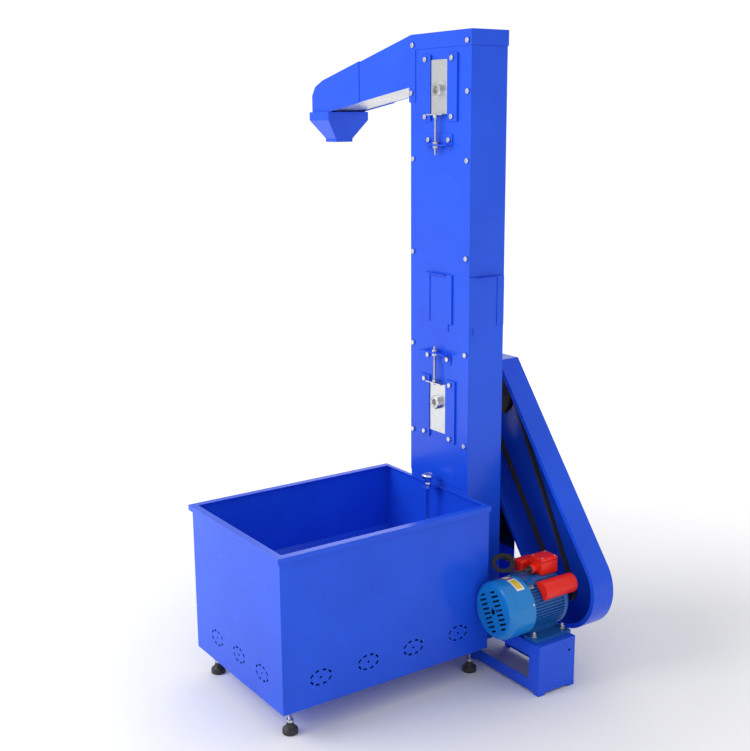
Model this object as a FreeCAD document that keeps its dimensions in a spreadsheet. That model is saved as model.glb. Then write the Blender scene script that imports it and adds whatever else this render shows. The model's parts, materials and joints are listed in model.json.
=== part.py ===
import FreeCAD, Part
import math
import os
import re
from FreeCAD import Placement, Rotation, Vector

# Belt-and-bucket grain elevator with intake hopper, discharge spout and V-belt motor drive.
# Millimetres. +Z is up, the spout points to -X, the motor stands on the +X side and the hopper
# on the -Y side. The origin is on the floor, in the middle of the leg casing.

doc = FreeCAD.newDocument("grain_elevator")
sheet = doc.addObject("Spreadsheet::Sheet", "sizes")

SIZES = [
    # leg casing and its cover plates
    ("leg_width", 260), ("leg_depth", 120), ("leg_height", 1680),
    ("leg_low", 40), ("stand_half_x", 80), ("stand_half_y", 30), ("sheet_wall", 2),
    ("flange_width", 25), ("panel_low", 500), ("cap_skirt", 40), ("slide_gap", 0.3),
    # discharge spout
    ("tab_drop", 138), ("tab_width", 29), ("tab_reach", 6), ("spout_fall", 0.236),
    ("spout_rise", 0.142), ("spout_lap", 3), ("under_drop", 97), ("lap_away", 250),
    ("lap_length", 23), ("spout_long", 510), ("outlet_long", 104), ("foot_over_collar", 3),
    ("chamfer_low_drop", 109), ("chamfer_mid_drop", 83), ("chamfer_in", 18), ("chamfer_far", 60),
    ("floor_recess", 1), ("collar_band", 25), ("collar_drop", 158), ("collar_side", 3), ("collar_proud", 8),
    ("outlet_width", 60), ("funnel_tall", 55), ("neck_tall", 10),
    # shafts, pulleys, bucket belt
    ("head_drop", 108), ("drive_z", 728), ("boot_z", 150), ("shaft_radius", 10),
    ("head_radius", 50), ("drum_radius", 56), ("pulley_half", 45), ("pulley_wall", 4),
    ("shaft_proud", 8), ("takeup_travel", 10), ("slot_clearance", 2), ("bore_gap", 0.05),
    ("band_half", 40), ("band_thick", 4), ("bucket_half", 42), ("bucket_reach", 50),
    ("bucket_tall", 56), ("bucket_wall", 2), ("bucket_count", 22),
    # take-up slides
    ("slide_half", 40), ("slide_window", 36), ("slide_thick", 2.6), ("rail_outer", 77),
    ("rail_base", 3.2), ("rail_cover", 2), ("head_rail_near", 80), ("head_rail_far", 92),
    ("head_slide_near", 64), ("head_slide_far", 78), ("drive_rail_near", 70),
    ("drive_rail_far", 107), ("drive_slide_near", 58), ("drive_slide_far", 86),
    ("lip_depth", 18), ("lip_thick", 3), ("bearing_radius", 19), ("bearing_length", 13),
    ("screw_offset", 14), ("screw_radius", 4), ("screw_tail", 103), ("bracket_half", 56),
    ("bracket_tall", 30), ("bracket_near", 113), ("bracket_depth", 25), ("bracket_thick", 3),
    ("bracket_bolt", 43.5), ("nut_tall", 6.5), ("nut_radius", 7.5), ("head_tall", 5),
    ("bolt_radius", 3.9), ("rail_bolt", 57), ("rail_bolt_inset", 12), ("bolt_inset", 13),
    # inspection doors
    ("door_half", 43), ("door_low", 932), ("door_high", 1088), ("guide_low", 953),
    ("guide_outer", 60), ("guide_window", 37), ("door_open_half", 32), ("door_open_low", 945),
    ("door_open_high", 1070), ("door_lip", 12), ("side_door_y", -3),
    # hopper
    ("hopper_left", 246), ("hopper_right", 225), ("hopper_length", 647), ("hopper_low", 74),
    ("hopper_top", 486), ("rim_out", 8), ("rim_in", 10), ("rim_drop", 15),
    ("chute_high", 300), ("chute_low", 112), ("throat_half", 90), ("throat_tall", 100),
    ("throat_length", 34), ("gate_thick", 3), ("gate_overlap", 8), ("gate_rod", 5),
    ("knob_radius", 17), ("knob_stem", 9), ("knob_gap", 4), ("knob_tall", 34),
    ("vent_height", 146), ("vent_wide", 30), ("vent_rise", 19),
    ("vent_slot", 5), ("vent_length", 11),
    # feet
    ("foot_inset_x", 38), ("foot_inset_front", 40), ("foot_inset_rear", 32),
    ("pad_radius", 20), ("pad_tall", 14), ("pad_cone", 16), ("stud_radius", 5),
    ("stud_over", 22),
    # motor base, motor and drive
    ("base_long", 282), ("base_front", 39), ("base_back", 89), ("base_tall", 142),
    ("window_start", 40), ("window_rim", 40), ("window_low", 38), ("window_high", 104),
    ("notch_tall", 6), ("notch_inset", 22), ("motor_away", 175), ("axle_height", 80),
    ("motor_front", 35), ("motor_back", 78), ("frame_radius", 70), ("frame_wall", 8),
    ("rib_tall", 5), ("motor_foot_half", 88), ("motor_foot_thick", 10), ("foot_bolt_x", 65),
    ("foot_bolt_front", 21), ("foot_bolt_back", 79), ("slot_reach", 12), ("cover_radius", 79),
    ("cover_front", 110), ("cover_round", 16), ("shield_back", 108), ("boss_back", 116),
    ("motor_shaft", 9.5), ("box_from_axle", 3.5), ("box_half", 25.5), ("box_front", 35),
    ("box_back", 93), ("box_over_base", 155.5), ("box_tall", 47.5), ("gland_from_box", 0.5),
    ("gland_over_box", 16.5), ("gland_radius", 12), ("gland_length", 20), ("cap_side", 58),
    ("cap_rise", 50), ("cap_radius", 26), ("cap_front", 5), ("cap_back", 115),
    ("starter_inset", 59), ("starter_long", 35), ("starter_front", 10),
    ("starter_back", 66), ("starter_over_base", 186), ("starter_round", 7), ("grille_turn", 28),
    ("sheave_away", 82), ("sheave_long", 24), ("big_pitch", 64), ("small_pitch", 32),
    ("vee_over", 3), ("vee_under", 6), ("vee_width", 13),
    # guard and rear post
    ("guard_away", 80), ("guard_deep", 73), ("guard_radius", 122), ("guard_top", 825),
    ("guard_left", 110), ("guard_angle", 36.6), ("guard_rise", 16), ("guard_lip", 12),
    ("guard_wall", 1.5), ("post_left", 60), ("post_right", 23), ("post_top", 600),
    # supply lead
    ("lead_radius", 3), ("coil_ring", 25), ("coil_girth", 8.5),
]
for row, (alias, number) in enumerate(SIZES, start=1):
    sheet.set("A%d" % row, alias.replace("_", " "))
    sheet.set("B%d" % row, str(number))
    sheet.setAlias("B%d" % row, alias)
doc.recompute()

# Places that follow from the sizes above.
DERIVED = {
    "head_top": "leg_height + cap_skirt",
    "head_z": "leg_height - head_drop",
    "tab_low": "leg_height - tab_drop",
    "under_start": "leg_height - under_drop",
    "chamfer_mid": "leg_height - chamfer_mid_drop",
    "chamfer_low": "leg_height - chamfer_low_drop",
    "collar_high": "leg_height - collar_drop",
    "collar_low": "collar_high - collar_band",
    "spout_foot": "collar_low + foot_over_collar",
    "funnel_low": "collar_low - funnel_tall",
    "outlet_low": "funnel_low - neck_tall",
    "spout_start": "leg_width / 2 - spout_lap",
    "lap_start": "leg_width / 2 + lap_away",
    "spout_reach": "leg_width / 2 + spout_long",
    "outlet_inner": "spout_reach - outlet_long",
    "bolt_column": "leg_width / 2 - bolt_inset",
    "motor_x": "leg_width / 2 + motor_away",
    "base_right": "leg_width / 2 + base_long",
    "window_left": "leg_width / 2 + window_start",
    "window_right": "base_right - window_rim",
    "shaft_end": "leg_depth / 2 + shaft_proud",
    "knob_low": "hopper_top + knob_gap",
    "stud_top": "hopper_low + stud_over",
    "sheave_front": "leg_depth / 2 + sheave_away",
    "sheave_back": "sheave_front + sheave_long",
    "guard_front": "leg_depth / 2 + guard_away",
    "guard_back": "guard_front + guard_deep",
    "box_x": "motor_x + box_from_axle",
    "gland_x": "box_x - gland_from_box",
    "starter_left": "motor_x - starter_inset",
    "starter_right": "starter_left + starter_long",
    "box_low": "base_tall + box_over_base",
    "box_high": "box_low + box_tall",
    "gland_z": "box_low + gland_over_box",
    "starter_top": "base_tall + starter_over_base",
}
PLACES = re.compile(r"\b(%s)\b" % "|".join(DERIVED))
ALIASES = re.compile(r"\b(%s)\b" % "|".join(name for name, number in SIZES))
sub_parts = []


def bound(text):
    """The expression with every alias written as a cell of the sheet."""
    text = str(text)
    while PLACES.search(text):
        text = PLACES.sub(lambda found: "(%s)" % DERIVED[found.group(1)], text)
    return ALIASES.sub(r"sizes.\1", text)


def value(text):
    """The present value of an expression, for shapes made with Part's own functions."""
    result = sheet.evalExpression(bound(text))
    return float(getattr(result, "Value", result))


def name_part(thing, label):
    thing.Label = label
    sub_parts.append(thing)
    return thing


def place(thing, x, y, z, turn=None):
    thing.Placement = Placement(Vector(value(x), value(y), value(z)), turn or Rotation())
    for axis, text in (("x", x), ("y", y), ("z", z)):
        thing.setExpression("Placement.Base." + axis, bound(text))
    return thing


def box(name, x, y, z):
    """A block between pairs of expressions along each axis."""
    block = doc.addObject("Part::Box", name)
    for side, pair in (("Length", x), ("Width", y), ("Height", z)):
        block.setExpression(side, bound("(%s) - (%s)" % (pair[1], pair[0])))
    return place(block, x[0], y[0], z[0])


TURNS = {
    "X": Rotation(Vector(0, 1, 0), 90),
    "Y": Rotation(Vector(1, 0, 0), -90),
    "Z": Rotation(),
}


def rod(name, along, radius, low, high, first, second):
    """A cylinder along X, Y or Z; first and second are its other two coordinates in order."""
    shaft = doc.addObject("Part::Cylinder", name)
    shaft.setExpression("Radius", bound(radius))
    shaft.setExpression("Height", bound("(%s) - (%s)" % (high, low)))
    start = {"X": (low, first, second), "Y": (first, low, second), "Z": (first, second, low)}
    return place(shaft, *start[along], TURNS[along])


def cone(name, low_radius, high_radius, low, high, x, y):
    taper = doc.addObject("Part::Cone", name)
    taper.setExpression("Radius1", bound(low_radius))
    taper.setExpression("Radius2", bound(high_radius))
    taper.setExpression("Height", bound("(%s) - (%s)" % (high, low)))
    return place(taper, x, y, low)


def hexagon(name, along, radius, low, high, first, second):
    """A hexagonal prism, for bolt heads and nuts."""
    prism = doc.addObject("Part::Prism", name)
    prism.Polygon = 6
    prism.setExpression("Circumradius", bound(radius))
    prism.setExpression("Height", bound("(%s) - (%s)" % (high, low)))
    start = {"X": (low, first, second), "Y": (first, low, second), "Z": (first, second, low)}
    return place(prism, *start[along], TURNS[along])


def fuse(name, *pieces):
    union = doc.addObject("Part::MultiFuse", name)
    union.Shapes = list(pieces)
    union.Refine = True
    return union


def cut(name, base, *tools):
    cutter = tools[0] if len(tools) == 1 else fuse(name + "_cutter", *tools)
    result = doc.addObject("Part::Cut", name)
    result.Base = base
    result.Tool = cutter
    result.Refine = True
    return result


def group(label, *pieces):
    """Separate solids of one kind in one node."""
    together = doc.addObject("Part::Compound", label)
    together.Links = list(pieces)
    return name_part(together, label)


def origin_plane(body, role):
    return next(plane for plane in body.Origin.OriginFeatures if plane.Role == role)


def outline(body, name, plane, offset, points):
    """A closed polygon sketch whose corners are bound to the sheet."""
    sketch = body.newObject("Sketcher::SketchObject", name)
    sketch.AttachmentSupport = [(origin_plane(body, plane), "")]
    sketch.MapMode = "FlatFace"
    sketch.setExpression("AttachmentOffset.Base.z", bound(offset))
    corners = [Vector(value(u), value(w), 0) for u, w in points]
    count = len(corners)
    for index in range(count):
        sketch.addGeometry(Part.LineSegment(corners[index], corners[(index + 1) % count]))
    for index in range(count):
        sketch.addConstraint(Sketcher.Constraint("Coincident", index, 2, (index + 1) % count, 1))
    for index, (u, w) in enumerate(points):
        for kind, text, now in (("DistanceX", u, corners[index].x), ("DistanceY", w, corners[index].y)):
            number = sketch.addConstraint(Sketcher.Constraint(kind, index, 1, now))
            sketch.setExpression("Constraints[%d]" % number, bound(text))
    return sketch


def pad_xz(body, name, points, low, high):
    """Pads a polygon drawn in X and Z from y = low to y = high."""
    sketch = outline(body, name + "_sketch", "XZ_Plane", "-(%s)" % high, points)
    pad = body.newObject("PartDesign::Pad", name)
    pad.Profile = sketch
    pad.setExpression("Length", bound("(%s) - (%s)" % (high, low)))
    return pad


def pocket_xz(body, name, points, low, high):
    """Cuts a polygon drawn in X and Z between y = low and y = high."""
    sketch = outline(body, name + "_sketch", "XZ_Plane", "-(%s)" % low, points)
    pocket = body.newObject("PartDesign::Pocket", name)
    pocket.Profile = sketch
    pocket.setExpression("Length", bound("(%s) - (%s)" % (high, low)))
    return pocket


def feature(label, shape):
    solid = doc.addObject("Part::Feature", label)
    solid.Shape = shape
    solid.Placement = shape.Placement
    return name_part(solid, label)


import Sketcher

HALF = "leg_width / 2"
FRONT = "-leg_depth / 2"
BACK = "leg_depth / 2"
SLOT = "shaft_radius + takeup_travel + slot_clearance"


# ---- leg casing -----------------------------------------------------------------------------

def shaft_slot(name, low, high, level):
    """An upright slot for a shaft that its take-up moves."""
    return box(name, ("-shaft_radius - slot_clearance", "shaft_radius + slot_clearance"),
               (low, high), (level + " - (" + SLOT + ")", level + " + " + SLOT))


def make_leg():
    shell = box("leg_shell", ("-leg_width / 2", HALF), (FRONT + " + sheet_wall", BACK),
                ("leg_low", "leg_height"))
    inside = box("leg_inside", ("-leg_width / 2 + sheet_wall", HALF + " - sheet_wall"),
                 (FRONT + " + 2 * sheet_wall", BACK + " - sheet_wall"),
                 ("leg_low + sheet_wall", "leg_height + 1"))
    front_gap = box("leg_front_gap",
                    ("-leg_width / 2 + flange_width", HALF + " - flange_width"),
                    (FRONT, "0"), ("panel_low + flange_width", "leg_height + 1"))
    inlet = box("leg_inlet", ("-throat_half", "throat_half"), (FRONT, "0"),
                ("chute_low", "chute_low + throat_tall"))
    discharge = box("leg_discharge", ("-leg_width / 2 - 1", "0"),
                    (FRONT + " + 2 * sheet_wall", BACK + " - sheet_wall"),
                    ("under_start + 2 * sheet_wall", "leg_height + 1"))
    side_gap = box("leg_side_gap", ("0", HALF + " + 1"),
                   ("side_door_y - door_open_half", "side_door_y + door_open_half"),
                   ("door_open_low", "door_open_high"))
    slots = [shaft_slot("leg_slot_" + place_name, "0", BACK + " + 1", place_name + "_z")
             for place_name in ("head", "drive")]
    name_part(cut("leg_casing", shell, inside, front_gap, inlet, discharge, side_gap, *slots),
              "leg_casing")
    panel = box("panel_plate", ("-leg_width / 2", HALF), (FRONT, FRONT + " + sheet_wall"),
                ("panel_low", "leg_height"))
    door_gap = box("panel_door_gap", ("-door_open_half", "door_open_half"),
                   (FRONT + " - 1", "0"), ("door_open_low", "door_open_high"))
    slots = [shaft_slot("panel_slot_" + place_name, FRONT + " - 1", "0", place_name + "_z")
             for place_name in ("head", "drive")]
    name_part(cut("front_panel", panel, door_gap, *slots), "front_panel")
    stand = box("stand_block", ("-stand_half_x", "stand_half_x"), ("-stand_half_y", "stand_half_y"),
                ("0", "leg_low"))
    core = box("stand_core", ("-stand_half_x + sheet_wall", "stand_half_x - sheet_wall"),
               ("-stand_half_y - 1", "stand_half_y + 1"), ("3 * sheet_wall", "leg_low - 3 * sheet_wall"))
    name_part(cut("leg_stand", stand, core), "leg_stand")


# ---- head cap, spout and outlet -------------------------------------------------------------

def top_line(x, above="0"):
    """Height of the spout's sloping top at a distance x out from the leg's middle."""
    return "head_top - (%s - spout_start) * spout_fall + (%s)" % (x, above)


def under_line(x, above="0"):
    """Height of the spout's underside at a distance x out from the leg's middle."""
    return "under_start - (%s - leg_width / 2) * spout_rise + (%s)" % (x, above)


def make_head_cap():
    body = doc.addObject("PartDesign::Body", "head_cap")
    end = "lap_start + lap_length"
    right = HALF + " + sheet_wall"
    edge = "-leg_width / 2 - tab_reach"
    pad_xz(body, "cap_sides", [
        (right, "head_top"), (right, "leg_height"), (edge + " + tab_width", "leg_height"),
        (edge + " + tab_width", "tab_low"), (edge, "tab_low"),
        (edge, under_line("leg_width / 2 + tab_reach")),
        ("-(%s)" % end, under_line(end)), ("-(%s)" % end, top_line(end)),
        ("-spout_start", "head_top")], FRONT + " - sheet_wall", BACK + " + sheet_wall")
    far = end + " + 10"
    pocket_xz(body, "cap_hollow", [
        (HALF, "head_top - sheet_wall"), (HALF, "tab_low - 10"),
        ("-(%s)" % far, "tab_low - 60"), ("-(%s)" % far, top_line(far, "-sheet_wall")),
        ("-spout_start", "head_top - sheet_wall")], FRONT, BACK)
    name_part(body, "head_cap")


def make_spout_end():
    body = doc.addObject("PartDesign::Body", "spout_end")

    def profile(inset, skirt):
        wall = "(%s)" % inset
        return [
            ("-lap_start", under_line("lap_start", "-sheet_wall")),
            ("-lap_start", top_line("lap_start", "sheet_wall - " + wall)),
            ("-(spout_reach - chamfer_far)",
             top_line("(spout_reach - chamfer_far)", "sheet_wall - " + wall)),
            ("-(spout_reach - chamfer_in - %s)" % wall, "chamfer_mid"),
            ("-(spout_reach - %s)" % wall, "chamfer_low"),
            ("-(spout_reach - %s)" % wall, skirt),
            ("-(outlet_inner + %s)" % wall, skirt),
            ("-(outlet_inner + %s)" % wall, under_line("outlet_inner", "-sheet_wall"))]

    deep = "2 * sheet_wall"
    pad_xz(body, "end_sides", profile("0", "spout_foot"), FRONT + " - " + deep, BACK + " + " + deep)
    hollow = profile("sheet_wall", "spout_foot - 10")
    hollow[0] = ("-lap_start + 10", under_line("lap_start", "-20"))
    hollow[1] = ("-lap_start + 10", top_line("lap_start - 10", "0"))
    hollow[-1] = ("-(outlet_inner + sheet_wall)", under_line("outlet_inner", "-20"))
    pocket_xz(body, "end_hollow", hollow, FRONT + " - sheet_wall", BACK + " + sheet_wall")
    name_part(body, "spout_end")


def make_spout_floor():
    """The bare galvanised bottom plate, recessed between the side plates."""
    body = doc.addObject("PartDesign::Body", "spout_floor")
    start = "leg_width / 2"
    stop = "outlet_inner"
    rise = "floor_recess"
    pad_xz(body, "floor_plate", [
        ("-(%s)" % start, under_line(start, rise)),
        ("-(%s)" % start, under_line(start, rise + " + sheet_wall")),
        ("-(%s)" % stop, under_line(stop, rise + " + sheet_wall")),
        ("-(%s)" % stop, under_line(stop, rise))], FRONT, BACK)
    name_part(body, "spout_floor")


def wedge(name, low, high, low_size, high_size, x):
    """A four-sided taper about a vertical line; each size is half its width along X and Y."""
    taper = doc.addObject("Part::Wedge", name)
    corners = {
        "Xmin": "-(%s)" % low_size[0], "Xmax": low_size[0], "Zmin": "-(%s)" % low_size[1],
        "Zmax": low_size[1], "X2min": "-(%s)" % high_size[0], "X2max": high_size[0],
        "Z2min": "-(%s)" % high_size[1], "Z2max": high_size[1],
        "Ymin": "0", "Ymax": "(%s) - (%s)" % (high, low)}
    for side, text in corners.items():
        setattr(taper, side, value(text))
        taper.setExpression(side, bound(text))
    return place(taper, x, "0", low, Rotation(Vector(1, 0, 0), 90))


def make_outlet():
    middle = "-(spout_reach + outlet_inner) / 2"
    wide = "(spout_reach - outlet_inner) / 2 + slide_gap"
    deep = "leg_depth / 2 + 2 * sheet_wall + slide_gap"
    frame = box("collar_frame",
                ("%s - (%s) - collar_side" % (middle, wide), "%s + %s + sheet_wall" % (middle, wide)),
                ("-(%s) - collar_proud" % deep, deep + " + collar_proud"),
                ("collar_low", "collar_high"))
    seat = box("collar_seat", ("%s - (%s)" % (middle, wide), "%s + %s" % (middle, wide)),
               ("-(%s)" % deep, deep), ("collar_low", "collar_high + 1"))
    narrow = "outlet_width / 2"
    thin = narrow + " - sheet_wall"
    outer = wedge("funnel_outer", "funnel_low", "collar_low",
                  (narrow, narrow), (wide + " + sheet_wall", deep + " + collar_proud"), middle)
    inner = wedge("funnel_inner", "funnel_low", "collar_low",
                  (thin, thin), (wide, deep), middle)
    neck = box("neck_outer", (middle + " - " + narrow, middle + " + " + narrow),
               ("-(%s)" % narrow, narrow), ("outlet_low", "funnel_low"))
    bore = box("neck_inner", ("%s - (%s)" % (middle, thin), "%s + %s" % (middle, thin)),
               ("-(%s)" % thin, thin), ("outlet_low - 1", "funnel_low"))
    solid = fuse("collar_solid", frame, outer, neck)
    name_part(cut("outlet_collar", solid, seat, inner, bore), "outlet_collar")


# ---- take-up slides -------------------------------------------------------------------------

def along(side, distance):
    """A place outside the casing's front (-1) or back (+1) face."""
    sign = "-" if side < 0 else ""
    return "%s(leg_depth / 2 + %s)" % (sign, distance)


def outside(side, near, far):
    """The pair of limits of a layer that lies between two distances from a face."""
    pair = (along(side, near), along(side, far))
    return pair if side > 0 else pair[::-1]


def upright(level, toward, near, far):
    """Limits along Z: toward is +1 when the adjusting screw stands above the shaft."""
    low, high = (far, near) if toward > 0 else (near, far)
    return ("%s - (%s)" % (level, low), "%s + (%s)" % (level, high))


def point_z(level, toward, distance):
    return "%s %s (%s)" % (level, "+" if toward > 0 else "-", distance)


FACES = ((-1, "front"), (1, "rear"))
TAKEUPS = (("head", -1), ("drive", 1))


def make_takeups():
    rails, screws, brackets, nuts = [], {"head": [], "drive": []}, [], []
    bearings = {"head": [], "drive": []}
    bolts = []
    for name, toward in TAKEUPS:
        level = name + "_z"
        for side, face in FACES:
            tag = "%s_%s" % (name, face)
            span = upright(level, toward, name + "_rail_near", name + "_rail_far")
            for hand in (-1, 1):
                sign = "-" if hand < 0 else ""
                foot = (sign + "(slide_half + slide_gap)", sign + "rail_outer")
                lid = (sign + "slide_window", sign + "rail_outer")
                step = hand if hand > 0 else -1
                rails.append(fuse(
                    "%s_rail_%s" % (tag, "right" if hand > 0 else "left"),
                    box("%s_rail_foot_%d" % (tag, step + 1), foot[::step], outside(side, "0", "rail_base"), span),
                    box("%s_rail_lid_%d" % (tag, step + 1), lid[::step],
                        outside(side, "rail_base", "rail_base + rail_cover"), span)))
                for end in ("near", "far"):
                    inset = "%s_rail_%s - rail_bolt_inset" % (name, end)
                    at = point_z(level, toward if end == "near" else -toward, inset)
                    bolts.append(bolt("%s_rail_bolt_%s_%d" % (tag, end, step + 1), side,
                                      sign + "rail_bolt", at, "rail_base + rail_cover"))
                bolts.append(bolt("%s_bracket_bolt_%d" % (tag, step + 1), side, sign + "bracket_bolt",
                                  point_z(level, toward, "bracket_near + bracket_tall / 2"),
                                  "bracket_thick"))
            gap = "slide_gap"
            plate = box(tag + "_plate", ("-slide_half", "slide_half"),
                        outside(side, gap, gap + " + slide_thick"),
                        upright(level, toward, name + "_slide_near", name + "_slide_far"))
            edge = point_z(level, toward, name + "_slide_near")
            inner = point_z(level, toward, name + "_slide_near - lip_thick")
            lip_span = (inner, edge) if toward > 0 else (edge, inner)
            lip = box(tag + "_lip", ("-slide_window + 2", "slide_window - 2"),
                      outside(side, gap + " + slide_thick", gap + " + slide_thick + lip_depth"), lip_span)
            seat = rod(tag + "_seat", "Y", "bearing_radius - 4",
                       *outside(side, "-10", "20"), "0", level)
            screw_y = along(side, "screw_offset")
            hole = rod(tag + "_screw_hole", "Z", "screw_radius", *lip_span, "0", screw_y)
            name_part(cut(name + "_slide_" + face, fuse(tag + "_slide_solid", plate, lip), seat, hole),
                      name + "_slide_" + face)
            start = gap + " + slide_thick"
            ring = rod(tag + "_ring", "Y", "bearing_radius",
                       *outside(side, start, start + " + bearing_length"), "0", level)
            bore = rod(tag + "_bore", "Y", "shaft_radius + bore_gap",
                       *outside(side, "0", "60"), "0", level)
            bearings[name].append(cut(tag + "_bearing", ring, bore))
            tail = point_z(level, toward, name + "_slide_near + screw_tail")
            top = point_z(level, toward, name + "_slide_near - lip_thick - 4")
            pair = (top, tail) if toward > 0 else (tail, top)
            screws[name].append(rod(tag + "_screw", "Z", "screw_radius", *pair, "0", screw_y))
            base = box(tag + "_bracket_base", ("-bracket_half", "bracket_half"),
                       outside(side, "0", "bracket_thick"),
                       upright(level, toward, "bracket_near + bracket_tall", "-bracket_near"))
            far_end = point_z(level, toward, "bracket_near + bracket_tall")
            leg_end = point_z(level, toward, "bracket_near + bracket_tall - bracket_thick")
            leg_span = (leg_end, far_end) if toward > 0 else (far_end, leg_end)
            leg = box(tag + "_bracket_leg", ("-bracket_half", "bracket_half"),
                      outside(side, "bracket_thick", "bracket_depth"), leg_span)
            eye = rod(tag + "_bracket_eye", "Z", "screw_radius + 0.5", *leg_span, "0", screw_y)
            brackets.append(cut(tag + "_bracket", fuse(tag + "_bracket_solid", base, leg), eye))
            for step, distance in enumerate((
                    "bracket_near + bracket_tall - bracket_thick - nut_tall - 0.2",
                    "bracket_near + bracket_tall + 0.2", name + "_slide_near + 0.2")):
                start = point_z(level, toward, distance)
                stop = point_z(level, toward, distance + " + nut_tall")
                pair = (start, stop) if toward > 0 else (stop, start)
                body = hexagon("%s_nut_%d" % (tag, step), "Z", "nut_radius", *pair, "0", screw_y)
                bore = rod("%s_nut_bore_%d" % (tag, step), "Z", "screw_radius + 0.05", *pair, "0", screw_y)
                nut = cut("%s_nut_ring_%d" % (tag, step), body, bore)
                (screws[name] if step == 2 else nuts).append(nut)
    group("slide_rails", *rails)
    group("screw_brackets", *brackets)
    group("screw_nuts", *nuts)
    for name, toward in TAKEUPS:
        group(name + "_bearings", *bearings[name])
        group(name + "_screws", *screws[name])
    return bolts


def bolt(name, side, x, z, start):
    """A hexagon head on the casing's front or back face."""
    return hexagon(name, "Y", "nut_radius", *outside(side, start, start + " + head_tall"), x, z)


COVER_LEVELS = ("625", "879", "1138", "leg_height - 288", "leg_height - 113")


def make_cover_bolts(bolts):
    for side, face in FACES:
        if side > 0:
            continue
        for hand, sign in ((0, "-"), (1, "")):
            for step, level in enumerate(COVER_LEVELS):
                on_tab = hand == 0 and step == len(COVER_LEVELS) - 1
                layer = "sheet_wall" if on_tab else "0"
                x = sign + ("bolt_column" if not on_tab else "(leg_width / 2 - 7)")
                bolts.append(bolt("cover_bolt_%d_%d" % (hand, step), side, x, level, layer))
            bolts.append(bolt("cap_bolt_%d" % hand, side, sign + "bolt_column",
                              "leg_height + 12", "sheet_wall"))
    group("casing_bolts", *bolts)


# ---- shafts, pulleys and bucket belt --------------------------------------------------------

def drum_shape(radius):
    """A hollow pulley with two end discs and a hub, on the shaft's line through the origin."""
    half = value("pulley_half")
    wall = value("pulley_wall")
    bore = value("shaft_radius")
    middle = Vector(0, 1, 0)
    solid = Part.makeCylinder(radius, 2 * half, Vector(0, -half, 0), middle)
    inner = Part.makeCylinder(radius - wall, 2 * half - 2 * wall, Vector(0, wall - half, 0), middle)
    hub = Part.makeCylinder(bore + 8, 2 * half, Vector(0, -half, 0), middle)
    hole = Part.makeCylinder(bore, 2 * half + 2, Vector(0, -half - 1, 0), middle)
    return solid.cut(inner).fuse(hub).cut(hole)


def make_shafts():
    for name, radius, low, high in (
            ("head", "head_radius", "-shaft_end", "shaft_end"),
            ("drive", "drum_radius", "-shaft_end", "sheave_back"),
            ("boot", "head_radius", FRONT + " + 2 * sheet_wall + 1", BACK + " - sheet_wall - 1")):
        name_part(rod(name + "_shaft", "Y", "shaft_radius", low, high, "0", name + "_z"),
                  name + "_shaft")
        pulley = drum_shape(value(radius))
        pulley.translate(Vector(0, 0, value(name + "_z")))
        feature(name + "_pulley", pulley)
    rings = []
    for side, pair in ((0, (FRONT + " + 2 * sheet_wall", FRONT + " + 2 * sheet_wall + 9")),
                       (1, (BACK + " - sheet_wall - 9", BACK + " - sheet_wall"))):
        ring = rod("boot_ring_%d" % side, "Y", "bearing_radius + 5", *pair, "0", "boot_z")
        bore = rod("boot_bore_%d" % side, "Y", "shaft_radius + bore_gap", *pair, "0", "boot_z")
        rings.append(cut("boot_bearing_%d" % side, ring, bore))
    group("boot_bearings", *rings)


def belt_block(centres, grow, low, high):
    """The solid inside a belt that runs round circles (x, z, radius), each radius grown."""
    middle = Vector(0, 1, 0)
    wide = high - low
    solids = [Part.makeCylinder(radius + grow, wide, Vector(x, low, z), middle)
              for x, z, radius in centres]
    for (x1, z1, r1), (x2, z2, r2) in zip(centres, centres[1:]):
        run = Vector(x2 - x1, 0, z2 - z1)
        lean = (r1 - r2) / run.Length
        run.normalize()
        across = Vector(run.z, 0, -run.x)
        sides = []
        for sign in (1, -1):
            normal = across * (sign * math.sqrt(1 - lean * lean)) + run * lean
            sides.append((Vector(x1, low, z1) + normal * (r1 + grow),
                          Vector(x2, low, z2) + normal * (r2 + grow)))
        ring = [sides[0][0], sides[0][1], sides[1][1], sides[1][0]]
        solids.append(Part.Face(Part.makePolygon(ring + ring[:1])).extrude(middle * wide))
    return solids[0].fuse(solids[1:]).removeSplitter()


def belt_shape(centres, inner, outer, low, high):
    """A closed belt of even thickness between two planes of constant y."""
    return belt_block(centres, outer, low, high).cut(belt_block(centres, inner, low - 1, high + 1))


def bucket_shape():
    """One open scoop whose back lies on x = 0 and whose mouth faces up."""
    reach, tall = value("bucket_reach"), value("bucket_tall")
    half, wall = value("bucket_half"), value("bucket_wall")

    def block(inset):
        points = [Vector(inset, 0, inset), Vector(inset, 0, tall), Vector(reach - inset, 0, tall),
                  Vector(reach - inset, 0, 0.45 * tall), Vector(0.55 * reach, 0, inset)]
        face = Part.Face(Part.makePolygon(points + points[:1]))
        face.translate(Vector(0, inset - half, 0))
        return face.extrude(Vector(0, 2 * (half - inset), 0))

    inside = block(wall)
    lift = block(wall)
    lift.translate(Vector(0, 0, wall))
    return block(0).cut(inside).cut(lift)


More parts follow.
